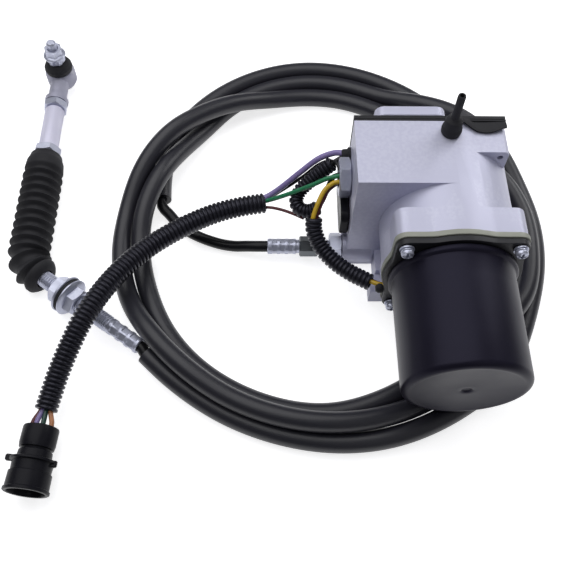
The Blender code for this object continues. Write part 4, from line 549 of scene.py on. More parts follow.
@dataclass(frozen=True)
class Finish:
    """One surface: its colour, gloss, grain, marks and wear, and the record's slot that it stands for."""

    name: str
    slot: str
    colour: Triple
    roughness: float
    metallic: float = 0.0
    tone: Triple = (0.0, 0.0, 0.0)
    tone_share: float = 0.5
    roughness_swing: float = 0.08
    grain_scale: float = 2500.0
    grain_depth: float = 0.00001
    coarse_share: float = 0.3
    mark_scale: float = 60.0
    scratches: float = 0.3
    worn: Optional[Triple] = None
    worn_share: float = 0.0
    worn_spread: float = 0.04
    line_axis: Optional[Triple] = None
    line_depth: float = 0.0
    specular: float = 0.5
    # sheen_tint tints the specular reflections: a painted reflection colour, lavender on the black finishes.
    sheen_tint: Triple = (1.0, 1.0, 1.0)

    def material(self) -> bpy.types.Material:
        """Returns this finish's material, building it at the first call."""
        found = bpy.data.materials.get(self.name)
        return found if found is not None else self.build()

    def build(self) -> bpy.types.Material:
        """Builds the node tree.

        Returns:
            The new material.
        """
        material = bpy.data.materials.new(self.name)
        material.use_nodes = True
        nodes = Nodes(material.node_tree)
        marks = self.place(nodes, Effect.MARKS, {"Scale": self.mark_scale, "Scratches": self.scratches})
        blotches = marks["Blotches"]
        tones = nodes.spread(blotches, 0.35, 0.7, 0.0, self.tone_share)
        colour = nodes.mix(tones, (*self.colour, 1.0), (*self.tone, 1.0))
        if self.worn is not None:
            wear = self.place(nodes, Effect.WEAR, {"Spread": self.worn_spread, "Break up": WEAR_BREAK_UP})
            share = nodes.maths("MULTIPLY", wear["Mask"], self.worn_share)
            colour = nodes.mix(share, colour, (*self.worn, 1.0))
        low, high = self.roughness - self.roughness_swing, self.roughness + self.roughness_swing
        gloss = nodes.spread(blotches, 0.3, 0.7, max(low, 0.04), min(high, 1.0))
        scuffs = {0: marks["Scratches"], 1: SCUFF_ROUGHNESS, 2: gloss}
        scuffed = nodes.add("ShaderNodeMath", scuffs, "MULTIPLY_ADD")
        scuffed.use_clamp = True
        shader = nodes.add("ShaderNodeBsdfPrincipled", {
            "Base Color": colour, "Roughness": scuffed.outputs[0], "Metallic": self.metallic,
            "Specular IOR Level": self.specular, "Specular Tint": (*self.sheen_tint, 1.0),
            "IOR": REFRACTIVE_INDEX, "Normal": self.relief(nodes)})
        nodes.add("ShaderNodeOutputMaterial", {"Surface": shader.outputs["BSDF"]})
        return material

    def relief(self, nodes: Nodes) -> bpy.types.NodeSocket:
        """Returns the normal of the finish's grain and of its lines, if it has any."""
        values = {"Scale": self.grain_scale, "Coarse share": self.coarse_share}
        grain = self.place(nodes, Effect.GRAIN, values)
        layers = [(grain["Height"], self.grain_depth)]
        if self.line_axis is not None:
            values = {f"Along {axis}": value for axis, value in zip("XYZ", self.line_axis)}
            lines = self.place(nodes, Effect.LINES, values)
            layers.append((lines["Height"], self.line_depth))
        under: Inputs = {}
        for height, depth in layers:
            bump = nodes.add("ShaderNodeBump", {"Height": height, "Distance": depth, **under})
            under = {"Normal": bump.outputs["Normal"]}
        return bump.outputs["Normal"]

    @staticmethod
    def place(nodes: Nodes, effect: Effect, values: Dict[str, float]) -> Inputs:
        """Puts a shared effect into a material with its own values, and returns its results."""
        node = nodes.add("ShaderNodeGroup")
        node.node_tree = Effects.group(effect)
        for label, value in values.items():
            node.inputs[label].default_value = value
        return node.outputs

    def dress(self, *things: bpy.types.Object) -> None:
        """Gives pieces this finish."""
        for thing in things:
            thing.data.materials.clear()
            thing.data.materials.append(self.material())



CASTING = Finish(
    "satin_cast_aluminium", "cast_aluminium", (0.565, 0.57, 0.72), 0.46, 0.25, tone=(0.53, 0.535, 0.68),
    tone_share=0.4, roughness_swing=0.02, grain_scale=1800, grain_depth=0.00002, mark_scale=14,
    worn=(0.66, 0.67, 0.80), worn_share=0.4)
SPACER = Finish("olive_cream_spacer", "cream_spacer", (0.34, 0.35, 0.30), 0.5, tone=(0.28, 0.29, 0.25))
ENAMEL = Finish(
    "black_enamel", "black_enamel", (0.010, 0.010, 0.014), 0.24, tone=(0.016, 0.016, 0.022), tone_share=0.6,
    grain_scale=900, grain_depth=0.000012, coarse_share=0.8, mark_scale=25, roughness_swing=0.05,
    specular=0.3, worn=(0.09, 0.09, 0.10), worn_share=0.35)
# Painted reflection: the lavender tint of the can's colour and of its sheen_tint copies the lavender
# reflection seen on its end face and left side.
CAN_PAINT = Finish(
    "motor_can_paint", "black_enamel", (0.011, 0.010, 0.018), 0.36, tone=(0.016, 0.015, 0.027),
    tone_share=0.6, grain_scale=900, coarse_share=0.85, mark_scale=22, roughness_swing=0.05, specular=0.15,
    sheen_tint=(0.72, 0.70, 1.0), worn=(0.12, 0.12, 0.13), worn_share=0.3)
ZINC = Finish(
    "bright_zinc", "zinc_plate", (0.54, 0.56, 0.68), 0.36, 0.6, tone=(0.40, 0.42, 0.53), grain_scale=2200,
    grain_depth=0.000008, mark_scale=120, worn=(0.78, 0.79, 0.86), worn_share=0.5)
PALE_ZINC = Finish(
    "pale_zinc_tube", "zinc_plate", (0.78, 0.77, 0.93), 0.46, 0.2, tone=(0.71, 0.70, 0.87), tone_share=0.4,
    grain_scale=1800, grain_depth=0.000008, mark_scale=70)
GREY_CAST = Finish(
    "rod_end_forging", "zinc_plate", (0.42, 0.42, 0.52), 0.5, 0.3, tone=(0.32, 0.32, 0.41), tone_share=0.6,
    grain_scale=1600, grain_depth=0.00003, mark_scale=110, worn=(0.66, 0.66, 0.7), worn_share=0.5)
DARK_HEX = Finish(
    "dark_plated_hex", "zinc_plate", (0.10, 0.11, 0.12), 0.34, 0.85, tone=(0.16, 0.17, 0.18), mark_scale=120)
RUBBER = Finish(
    "black_rubber", "black_rubber", (0.0032, 0.0030, 0.0045), 0.42, tone=(0.0058, 0.0055, 0.0078),
    grain_scale=1500, grain_depth=0.00002, mark_scale=80, specular=0.045, sheen_tint=(0.75, 0.72, 1.0))
HOSE = Finish(
    "hose_cover", "hose_cover", (0.0060, 0.0064, 0.0140), 0.36, tone=(0.0092, 0.0100, 0.0205), tone_share=0.6,
    grain_scale=700, grain_depth=0.00002, coarse_share=0.6, mark_scale=30, roughness_swing=0.06,
    specular=0.08, sheen_tint=(0.66, 0.70, 1.0))
CONDUIT = Finish(
    "conduit_sleeve", "black_rubber", (0.009, 0.009, 0.011), 0.3, tone=(0.015, 0.015, 0.018), specular=0.2)
LOOM = Finish(
    "loom_plastic", "black_plastic", (0.011, 0.011, 0.015), 0.33, tone=(0.019, 0.019, 0.025), tone_share=0.4,
    specular=0.36, sheen_tint=(0.80, 0.80, 1.0))
PLUG = Finish(
    "plug_plastic", "black_plastic", (0.010, 0.010, 0.014), 0.36, tone=(0.018, 0.018, 0.022),
    grain_scale=2000, grain_depth=0.00002, mark_scale=70, worn=(0.06, 0.06, 0.07), worn_share=0.3,
    specular=0.1)
STEEL = Finish(
    "machined_steel", "steel", (0.42, 0.43, 0.45), 0.3, 1.0, tone=(0.32, 0.33, 0.35),
    line_axis=(0.4, 6.0, 0.4), line_depth=0.00001, grain_depth=0.000006)
BRASS = Finish(
    "machined_brass", "brass", (0.72, 0.53, 0.24), 0.28, 1.0, tone=(0.55, 0.38, 0.16),
    line_axis=(0.4, 6.0, 0.4), line_depth=0.00001, grain_depth=0.000006)
COPPER = Finish(
    "turned_copper", "copper", (0.70, 0.34, 0.2), 0.32, 1.0, tone=(0.46, 0.2, 0.12),
    line_axis=(0.4, 8.0, 0.4), line_depth=0.00001)
FERRITE = Finish(
    "sintered_ferrite", "ferrite", (0.055, 0.055, 0.06), 0.7, tone=(0.09, 0.09, 0.09), grain_depth=0.00004)
PHENOLIC = Finish(
    "brown_phenolic", "phenolic", (0.16, 0.08, 0.04), 0.55, tone=(0.10, 0.05, 0.025), tone_share=0.6,
    line_axis=(0.3, 9.0, 0.3), line_depth=0.00001)
CARBON = Finish(
    "brush_carbon", "carbon", (0.03, 0.03, 0.03), 0.7, tone=(0.05, 0.05, 0.05), grain_depth=0.00002)


class Wire(Enum):
    """The colours of the loose wires."""

    VIOLET = (0.24, 0.19, 0.42)
    GREEN = (0.015, 0.20, 0.085)
    YELLOW = (0.62, 0.40, 0.02)
    MAROON = (0.10, 0.012, 0.018)
    DARK_GREEN = (0.012, 0.05, 0.04)
    ORANGE = (0.42, 0.17, 0.07)
    BLACK = (0.012, 0.012, 0.014)

    def finish(self) -> Finish:
        """Returns this wire's soft plastic cover."""
        paler = tuple(min(c * 1.25 + 0.01, 1.0) for c in self.value)
        name = f"wire_{self.name.lower()}"
        return Finish(name, "black_plastic", self.value, 0.36, tone=paler, grain_depth=0.000006,
                      mark_scale=150)


@dataclass
class Studio:
    """Camera, lamps, world and floor."""

    place: Triple = (-95.21, -248.31, 383.48)
    elevation: float = 61.36
    yaw: float = 2.8
    roll: float = -2.51
    lens: float = 46.57
    floor_colour: Triple = (0.80, 0.80, 0.82)
    floor_shade: Triple = (0.24, 0.24, 0.28)
    floor_glow: float = 0.74
    floor_half: float = 4.0
    sky_colour: Triple = (0.93, 0.94, 1.0)
    sky_strength: float = 0.10

    def build(self) -> None:
        """Makes the camera first, then what it sees the object in."""
        self.camera()
        self.floor()
        self.world()
        self.lamp("key", (-260, 160, 620), (-60, 0, 20), 0.8, 3.7)
        self.lamp("fill", (260, -420, 420), (-40, -20, 20), 0.6, 0.25)
        self.lamp("rim", (330, 300, 360), (-20, 0, 40), 0.3, 1.0)

    def camera(self) -> None:
        """Puts the camera where the photograph was taken from."""
        e, y, roll = (math.radians(v) for v in (self.elevation, self.yaw, self.roll))
        ahead = Vector((math.sin(y) * math.cos(e), math.cos(y) * math.cos(e), -math.sin(e)))
        level = Vector((math.cos(y), -math.sin(y), 0))
        below = ahead.cross(level)
        right = level * math.cos(roll) + below * math.sin(roll)
        down = below * math.cos(roll) - level * math.sin(roll)
        data = bpy.data.cameras.new("camera")
        data.lens = self.lens
        data.sensor_width = 36.0
        data.clip_start, data.clip_end = 0.01, 20
        thing = bpy.data.objects.new("camera", data)
        bpy.context.scene.collection.objects.link(thing)
        turn = Matrix((right, -down, -ahead)).transposed()
        thing.matrix_world = Matrix.Translation(mm(*self.place)) @ turn.to_4x4()
        bpy.context.scene.camera = thing

    def floor(self) -> None:
        """Lays a wide pale floor that the camera and reflections see as white and that keeps soft shadows."""
        half = self.floor_half
        vertices = np.array([(-half, -half, 0), (half, -half, 0), (half, half, 0), (-half, half, 0)])
        floor = soft_object("floor", vertices, [(0, 1, 2, 3)])
        floor.location.z = -0.00005
        material = bpy.data.materials.new("floor_paper")
        material.use_nodes = True
        nodes = Nodes(material.node_tree)
        path = nodes.add("ShaderNodeLightPath").outputs
        seen = nodes.maths("MAXIMUM", path["Is Camera Ray"], path["Is Glossy Ray"])
        through = nodes.maths("MAXIMUM", seen, path["Is Transmission Ray"])
        shade = nodes.add("ShaderNodeBsdfDiffuse", {"Color": (*self.floor_shade, 1)}).outputs[0]
        paper = nodes.add("ShaderNodeBsdfDiffuse", {"Color": (*self.floor_colour, 1)}).outputs[0]
        glow = nodes.add("ShaderNodeEmission", {"Strength": self.floor_glow}).outputs[0]
        lit = nodes.add("ShaderNodeAddShader", {0: paper, 1: glow}).outputs[0]
        mixed = nodes.add("ShaderNodeMixShader", {0: through, 1: shade, 2: lit}).outputs[0]
        nodes.add("ShaderNodeOutputMaterial", {"Surface": mixed})
        floor.data.materials.append(material)

    def world(self) -> None:
        """Sets a dim even sky that the camera sees as white."""
        world = bpy.data.worlds.new("studio")
        bpy.context.scene.world = world
        world.use_nodes = True
        nodes = Nodes(world.node_tree)
        seen = nodes.add("ShaderNodeLightPath").outputs["Is Camera Ray"]
        dim = {"Color": (*self.sky_colour, 1), "Strength": self.sky_strength}
        sky = nodes.add("ShaderNodeBackground", dim)
        white = nodes.add("ShaderNodeBackground", {"Color": (1, 1, 1, 1)})
        mixed = nodes.add("ShaderNodeMixShader", {0: seen, 1: sky.outputs[0], 2: white.outputs[0]})
        nodes.add("ShaderNodeOutputWorld", {"Surface": mixed.outputs[0]})

    @staticmethod
    def lamp(name: str, place: Triple, target: Triple, size: float, power: float) -> None:
        """Hangs one soft square lamp.

        Args:
            name: The lamp's name.
            place: Where it hangs, in millimetres.
            target: What it faces, in millimetres.
            size: Side of the square, in metres.
            power: Watts.
        """
        data = bpy.data.lights.new(name, "AREA")
        data.shape = "SQUARE"
        data.size = size
        data.energy = power
        thing = bpy.data.objects.new(name, data)
        bpy.context.scene.collection.objects.link(thing)
        thing.location = mm(*place)
        thing.rotation_mode = "QUATERNION"
        thing.rotation_quaternion = (mm(*target) - mm(*place)).to_track_quat("-Z", "Y")


def seat(thing: bpy.types.Object, body: str, finish: Finish, *nodes: str) -> bpy.types.Object:
    """Dresses a new piece, lets it ride on a body and hides the CAD nodes that it stands for."""
    finish.dress(thing)
    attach(thing, body)
    if nodes:
        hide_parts(*nodes)
    LOG.info("piece %s rides on %s", thing.name, body)
    return thing


@dataclass(frozen=True)
class FarAxis:
    """The line of the far fitting, from the hose towards the boot."""

    start: Vector = Vector((-0.166, -0.0817, 0.0115))
    angle: float = 143.8

    def ahead(self) -> Vector:
        """Returns the axis as a unit vector."""
        turn = math.radians(self.angle)
        return Vector((math.cos(turn), math.sin(turn), 0))

    def at(self, distance: float) -> Vector:
        """Returns the point at a distance along the axis."""
        return self.start + self.ahead() * distance


@dataclass
class PushPullCable:
    """The long hose and the thin conduit at each of its ends."""

    hose_diameter: float = 0.0112
    conduit_diameter: float = 0.0066
    gap: float = 0.0008
    centre: Vector = Vector((-0.061, -0.002, 0.0))
    stations_per_turn: int = 27
    phase: float = 2.0
    crossing: float = 316.0
    fitting_end: Vector = Vector((-0.0975, -0.0165, 0.0098))
    far: FarAxis = FarAxis()
    tuck_in: float = 0.003
    lead_out: float = 0.006
    hose_lead: float = 0.005
    overlap: float = 0.004
    hose_step: float = 0.0036
    near_step: float = 0.003
    far_step: float = 0.0015
    plan_softening: float = 0.010
    height_softening: float = 0.007
    push_spread: Tuple[float, float] = (0.016, 0.008)
    neighbour_run: float = 0.08
    side_share: float = 0.35
    clearance: float = 1.01
    eagerness: float = 1.2
    most_rounds: int = 120

    def hose_route(self) -> np.ndarray:
        """Returns the hose's turns as rows of angle in degrees, radius and height in millimetres."""
        return np.array([
            (168, 103, 5.9), (160, 108.5, 5.9), (154, 113, 5.9), (147, 117, 5.9), (131, 123.4, 5.9),
            (122, 126.5, 5.9), (114, 128.5, 5.9), (105, 130.2, 5.9), (95, 130.6, 5.9),
            (85, 128.8, 5.9), (72, 125, 5.9), (55, 119.4, 5.9), (40, 114.8, 5.9), (20, 112, 5.9),
            (0, 111.3, 5.9), (-18, 112, 5.9), (-32, 115.2, 5.9), (-42, 119.6, 5.9), (-50, 120, 5.9),
            (-62, 119.9, 5.9), (-70, 121.3, 8), (-78, 122.8, 12), (-86, 124, 14.5),
            (-95, 124.4, 14.9), (-115, 124, 15.3), (-128, 124, 18.6), (-138, 124, 20.6),
            (-147, 124.3, 17), (-155, 124.5, 10), (-163, 124.4, 6.2), (-172, 123.8, 5.9),
            (-182, 122, 6.4), (-190, 120.3, 10), (-198, 118, 18.5), (-205, 115.4, 23.2),
            (-212, 112.8, 24.6), (-220, 110.2, 23.2), (-230, 108.2, 19.8), (-238, 107, 16.6),
            (-246, 106, 12.8), (-256, 106.4, 6.2), (-265, 106, 5.9), (-278, 103.9, 5.9),
            (-292, 100.1, 5.9), (-304, 98.7, 5.9), (-314, 98.4, 5.9), (-324, 100.2, 8),
            (-330, 102.4, 13.4), (-336, 106, 17.6), (-348, 113, 17.8), (-360, 117.4, 16.4),
            (-374, 118.6, 17.1), (-388, 120.8, 17.4), (-394, 119.6, 17.9), (-398, 114.8, 17.9),
            (-400.5, 110, 13.6), (-404, 105.8, 9.2), (-408, 104, 6.6), (-414, 104.2, 5.9),
            (-422, 107.5, 5.9), (-430, 109.5, 5.9), (-438, 112.2, 5.9), (-446, 115.2, 5.9),
            (-455, 117.2, 5.9), (-465, 117.4, 5.9), (-475, 117.3, 5.9), (-488, 117, 5.9),
            (-498, 116.3, 5.9), (-507, 115, 5.9), (-515, 113.3, 5.9), (-523, 112.6, 5.9),
            (-532, 112.2, 6.3), (-540, 111.1, 10), (-545, 110, 14.8), (-550, 108.2, 18.4),
            (-556, 106, 18.8), (-562, 105, 18.2), (-568, 104.7, 15.8), (-573, 105, 11.6),
            (-580, 106.5, 7), (-590, 111, 5.9), (-598, 114.5, 5.9), (-606, 117, 5.9),
            (-620, 118.8, 5.9), (-630, 118, 5.9), (-640, 115.8, 5.9), (-650, 112.1, 7),
            (-657, 110, 10.4), (-664, 111.8, 15), (-673, 114.8, 19), (-681, 119, 18.6),
            (-690, 123.6, 13.8), (-698, 124.4, 8), (-708, 124.6, 5.9), (-720, 125, 5.9),
            (-734, 125.3, 5.9), (-742, 125.4, 5.9), (-754, 128, 5.9), (-762, 131.2, 5.9),
            (-770, 131.9, 5.9), (-782, 131.9, 5.9), (-790, 132.4, 5.9), (-800, 132.8, 5.9),
            (-810, 132.2, 5.9), (-822, 131, 5.9), (-835, 130.2, 5.9), (-845, 130, 7),
            (-853, 130.8, 9), (-860.4, 131.6, 10.7)], float)

    def hose_stations(self) -> List[Vector]:
        """Returns the hose's points, at the same angles on each turn."""
        table = self.hose_route()
        turned_by = -table[:, 0]
        curves = [Monotone(turned_by, table[:, column]) for column in (1, 2)]
        share = 360.0 / self.stations_per_turn
        angles = [self.phase + share * index for index in range(self.stations_per_turn)]
        angles.append(self.crossing)
        stations = [360.0 * turn - angle for turn in range(0, 4) for angle in angles]
        stations = [s for s in stations if turned_by[0] + 5 < s < turned_by[-1] - 5]
        points = []
        for station in sorted(stations + [turned_by[0], turned_by[-1]]):
            radius, height = (curve.at(station) / 1000 for curve in curves)
            angle = math.radians(-station)
            points.append(self.centre + Vector((radius * math.cos(angle), radius * math.sin(angle), height)))
        return points

    def settle(self, path: List[Vector]) -> List[Vector]:
        """Rounds the hose off between its points and lets its turns rest on each other.

        Args:
            path: Closely spaced points on the hose's line.

        Returns:
            The points, moved so that no two turns share space.
        """
        table = np.array([tuple(p) for p in path])
        lengths = run_lengths(table)
        step = lengths[-1] / (len(table) - 1)
        table[:, :2] = blurred(table[:, :2], self.plan_softening / step)
        table[:, 2:] = blurred(table[:, 2:], self.height_softening / step)
        apart = np.abs(lengths[:, None] - lengths[None, :]) > self.neighbour_run
        width = self.hose_diameter * self.clearance
        for turn in range(self.most_rounds):
            offsets = table[:, None, :] - table[None, :, :]
            distances = np.linalg.norm(offsets, axis=2)
            close = apart & (distances < width)
            if not close.any():
                break
            offsets[:, :, :2] *= self.side_share
            push = np.where(close, (width - distances) / np.maximum(distances, 1e-9), 0.0)
            moves = (offsets * push[:, :, None]).sum(axis=1) / np.maximum(close.sum(axis=1), 1)[:, None]
            level, rise = (blurred(part, spread / step, False)
                           for part, spread in zip((moves[:, :2], moves[:, 2:]), self.push_spread))
            moves = np.concatenate([level, rise], axis=1)
            moves[:3] = 0
            moves[-3:] = 0
            table = table + moves * self.eagerness
            table[:, 2] = np.maximum(table[:, 2], self.hose_diameter / 2 + 0.0001)
        LOG.info("hose settled after %d rounds", turn + 1)
        return [Vector(row) for row in table]

    def build(self) -> None:
        stations = self.hose_stations()
        line = self.settle(smooth_path(stations, self.hose_step))
        hose = tube("long_hose", line, self.hose_diameter / 2, 28)
        enter = (stations[1] - stations[0]).normalized()
        leave = (stations[-1] - stations[-2]).normalized()
        near_end = self.fitting_end + Vector((self.tuck_in, 0, 0))
        near = [near_end, self.fitting_end - Vector((self.lead_out, 0, 0))]
        near += run([(-110, -15.2, 7.8), (-116.5, -13.9, 5.6), (-123.7, -11.9, 4.2), (-130.3, -9.5, 3.7),
                     (-137.7, -6.3, 3.6), (-145.1, -2.1, 3.7), (-152, 3.7, 4.0), (-156.7, 9.3, 4.6)])
        near += [stations[0] - enter * self.hose_lead, stations[0] + enter * self.overlap]
        near_line = smooth_path(near, self.near_step)
        near_tube = tube("near_conduit_sleeve", near_line, self.conduit_diameter / 2, 24)
        far_line = [stations[-1] - leave * self.overlap, stations[-1], stations[-1] + leave * 2 * self.gap,
                    self.far.at(-2 * self.gap), self.far.at(self.overlap)]
        far_line = smooth_path(far_line, self.far_step)
        far_tube = tube("far_conduit_sleeve", far_line, self.conduit_diameter / 2, 24)
        seat(hose, "housing", HOSE, "cable_hose")
        seat(near_tube, "housing", CONDUIT, "near_conduit")
        seat(far_tube, "housing", CONDUIT, "far_conduit")


def blurred(values: np.ndarray, spread: float, pinned: bool = True) -> np.ndarray:
    """Softens values along a line.

    Args:
        values: One row for each point of the line.
        spread: Width of the softening, in points.
        pinned: Keeps the first and last point where they are.

    Returns:
        The softened values.
    """
    reach = int(spread * 3) + 1
    kernel = np.exp(-0.5 * (np.arange(-reach, reach + 1) / spread) ** 2)
    kernel /= kernel.sum()
    if pinned:
        start, end = 2 * values[0] - values[reach:0:-1], 2 * values[-1] - values[-2:-reach - 2:-1]
        padded = np.concatenate([start, values, end])
    else:
        padded = np.pad(values, ((reach, reach), (0, 0)))
    return np.stack([np.convolve(column, kernel, mode="valid") for column in padded.T], axis=1)


def length_of(path: Sequence[Vector]) -> float:
    """Returns the length of a line of points."""
    return float(run_lengths(np.array([tuple(p) for p in path]))[-1])


class Monotone:
    """A smooth curve through values that never swings past them."""

    def __init__(self, places: np.ndarray, values: np.ndarray) -> None:
        """Works out the curve's slope at each value."""
        self.places, self.values = places, values
        gaps = np.diff(places)
        rises = np.diff(values) / gaps
        self.slopes = np.zeros(len(values))
        for index in range(1, len(values) - 1):
            before, after = rises[index - 1], rises[index]
            if before * after > 0:
                first = 2 * gaps[index] + gaps[index - 1]
                second = gaps[index] + 2 * gaps[index - 1]
                self.slopes[index] = (first + second) / (first / before + second / after)

    def at(self, place: float) -> float:
        """Returns the curve's value at a place."""
        index = int(np.clip(np.searchsorted(self.places, place) - 1, 0, len(self.places) - 2))
        gap = self.places[index + 1] - self.places[index]
        t = (place - self.places[index]) / gap
        low, high = self.values[index], self.values[index + 1]
        leave, enter = gap * self.slopes[index], gap * self.slopes[index + 1]
        return float((2 * t ** 3 - 3 * t ** 2 + 1) * low + (t ** 3 - 2 * t ** 2 + t) * leave
                     + (3 * t ** 2 - 2 * t ** 3) * high + (t ** 3 - t ** 2) * enter)


@dataclass
class Sleeve:
    """One corrugated loom sleeve: a hollow tube of round ridges."""

    name: str
    diameter: float
    route: Sequence[Triple]
    pitch: float = 0.0025
    depth: float = 0.0010
    wall: float = 0.0007
    step: float = 0.002
    inner_steps: int = 24

    def line(self) -> List[Vector]:
        """Returns the sleeve's centreline."""
        return smooth_path(run(self.route), self.step)

    def build(self) -> bpy.types.Object:
        """Makes the ridged tube.

        Returns:
            The sleeve, with a wall and open ends.
        """
        path = self.line()
        total = length_of(path)
        crest = self.diameter / 2
        ridges = int(total / self.pitch)
        pitch = total / ridges
        section = ((0.02, 1), (0.17, 1), (0.27, 0.25), (0.38, 0), (0.76, 0), (0.9, 0.25))
        profile = [((ridge + part) * pitch, crest - dip * self.depth)
                   for ridge in range(ridges) for part, dip in section]
        profile.append((total, crest - self.depth))
        inner = crest - self.depth - self.wall
        profile += [(total - total * step / self.inner_steps, inner) for step in range(self.inner_steps + 1)]
        return turned(self.name, path, profile, 30, closed=True, angle=70)


@dataclass
class Wiring:
    """The three looms with their wires, the gland nut and the grommets."""

    gland_axis: Triple = (-51.3, 2.0, 52.0)
    wire_diameter: float = 0.0026
    tail_radius: float = 0.0013
    tail_squeeze: float = 0.8
    tail_spread: Tuple[float, float] = (1.5, 1.2)
    wire_step: float = 0.0018
    tail_step: float = 0.002

    def build(self) -> None:
        main = Sleeve("main_loom_sleeve", 0.0118, [
            (-98.5, 4.5, 24), (-113.1, 1.6, 24), (-127.5, -3, 24), (-141.5, -10.4, 24.4), (-155.2, -19.9, 25),
            (-167.2, -30.5, 26), (-178, -44, 27.6), (-186.9, -58.5, 28.6), (-194.6, -73, 27),
            (-200.8, -86.3, 22.6), (-205.9, -99.2, 18), (-209, -110, 15), (-211, -118.6, 13.6)])
        motor = Sleeve("motor_loom_sleeve", 0.0095, [
            (-71.2, -16.4, 40), (-71, -21.5, 34.6), (-67, -28.8, 29), (-59.6, -36.8, 26.4),
            (-51.6, -43.2, 26), (-45.3, -47.4, 26.6), (-40.4, -50.4, 27)], pitch=0.0024, depth=0.0009)
        sensor = Sleeve("sensor_loom_sleeve", 0.0085, [
            (-60.5, 12.4, 51.4), (-66, 10.8, 46.6), (-72, 8.6, 41), (-78, 5.2, 35.8), (-80.6, 0, 32.4),
            (-78.2, -4.8, 31), (-72.6, -6.6, 32), (-68.6, -6.2, 34.8)], pitch=0.0022, depth=0.0009)
        sleeves = {}
        for sleeve, node in ((main, "main_loom"), (motor, "motor_loom"), (sensor, "sensor_loom")):
            sleeves[node] = seat(sleeve.build(), "housing", LOOM, node)
        tails = self.tail_wires()
        plug = Plug().build()
        motor_run = [(-56.6, -0.9, 50.3), (-60.5, -1.4, 50), (-66, -6, 47.5), *motor.route,
                     (-37.2, -52, 27.2), (-33.4, -53.2, 27.4)]
        yellow_run = [(x - 0.3, y + 0.2, z + 1.2) for x, y, z in motor_run]
        maroon_run = [(x + 1.4, y + 1.4, z - 1.2) for x, y, z in motor_run]
        sensor_run = [(-52, 14.4, 56.5), (-55.6, 13.8, 54.6), *sensor.route, (-65.5, -3.5, 40),
                      (-62.5, 1.5, 46.5), (-60, 4.4, 49.8), (-56.6, 4.9, 50.3)]
        thick = self.wire_diameter
        self.wire("yellow_motor_wire", Wire.YELLOW, yellow_run, thick, [sleeves["motor_loom"]])
        self.wire("maroon_motor_wire", Wire.MAROON, maroon_run, thick)
        self.wire("black_sensor_wire", Wire.BLACK, sensor_run, 0.0030, [sleeves["sensor_loom"]])
        self.wire("green_wire", Wire.GREEN, [
            (-110, 2.4, 24.4), (-97.6, 4.2, 26.6), (-86.9, 2.2, 35), (-72.7, 1.6, 45), (-64, 2.0, 51),
            (-56.6, 2.2, 53.6)], thick)
        self.wire("violet_wire", Wire.VIOLET, [
            (-110, 2.4, 25), (-98.2, 6.2, 27.2), (-89.8, 9.2, 32), (-78.3, 13.6, 41.5), (-68.4, 16.8, 49.6),
            (-59.4, 16.8, 55), (-52.6, 14.2, 57.2)], 0.0034)
        self.wire("maroon_link_wire", Wire.MAROON, [
            (-110, 1.0, 23.2), (-97.6, 1.4, 24), (-90, -0.6, 25), (-82.5, -4.4, 26.2),
            (-76.5, -9.5, 29)], 0.0018)
        self.wire("black_link_wire", Wire.BLACK, [
            (-110, 3.0, 24), (-98, 7.0, 24.4), (-88.6, 9.6, 29.5), (-77, 12.6, 38.5), (-67, 15.6, 47),
            (-59.6, 12.0, 53.4), (-56.8, 4.2, 55.0)], 0.0019)
        self.outlet()

    def wire(self, name: str, colour: Wire, route: Sequence[Triple], diameter: float,
             pieces: Sequence[bpy.types.Object] = ()) -> None:
        """Args:
            name: The piece's name.
            colour: The colour of its cover.
            route: Its line in millimetres, from the case's side or from a sleeve.
            diameter: Its diameter in metres.
            pieces: Sleeves on it; not used.
        """
        line = smooth_path(run(route), self.wire_step)
        thing = seat(tube(name, line, diameter / 2, 14), "housing", colour.finish())

    def tail_wires(self) -> List[bpy.types.Object]:
        """Makes the four wires between the main sleeve and the plug."""
        start, end = mm(-209.8, -113, 14.4), mm(-212.3, -129.9, 12.5)
        ahead = (end - start).normalized()
        side = ahead.cross(Vector(UP)).normalized()
        rise = side.cross(ahead)
        places = {Wire.MAROON: (3.2, 0.4), Wire.VIOLET: (1.6, 1.8), Wire.DARK_GREEN: (-0.6, 1.9),
                  Wire.ORANGE: (-3.2, 0.7)}
        things = []
        for colour, (across, high) in places.items():
            near = (side * across + rise * high) * self.tail_squeeze / 1000
            far = (side * across * self.tail_spread[0] + rise * high * self.tail_spread[1]) / 1000
            points = [start + near, start.lerp(end, 0.35) + near, start.lerp(end, 0.7) + far, end + far]
            line = smooth_path(points, self.tail_step)
            wire = tube(f"tail_wire_{colour.name.lower()}", line, self.tail_radius, 14)
            things.append(seat(wire, "housing", colour.finish()))
        return things

    def outlet(self) -> None:
        """Makes the gland nut with its filler, the wall grommet and the motor lead's grommet."""
        gland = hexagon("gland_hex", mm(*self.gland_axis), OUT_LEFT, 0.0195, 0.0065, 0.0058)
        seat(gland, "housing", ZINC, "gland_nut")
        profile = [(0, 0), (0, 0.0054), (0.005, 0.0054), (0.006, 0.0046), (0.0064, 0)]
        seat(lathed("gland_filler", mm(-50, 2, 52), OUT_LEFT, profile, 32), "housing", RUBBER)
        profile = [(0, 0), (0, 0.0040), (0.0012, 0.0040), (0.0016, 0.0031), (0.0042, 0.0029),
                   (0.0048, 0.0022), (0.0048, 0)]
        seat(lathed("wall_grommet", mm(-51.2, 14.2, 57), OUT_LEFT, profile, 32), "housing", RUBBER)
        profile = [(-0.0004, 0), (-0.0004, 0.0026), (0.0006, 0.0030), (0.0022, 0.0030), (0.0036, 0.0022),
                   (0.0036, 0)]
        grommet = lathed("motor_lead_grommet", mm(-34.2, -53.5, 27), OUT_LEFT, profile, 32)
        seat(grommet, "housing", RUBBER, "lead_grommet")


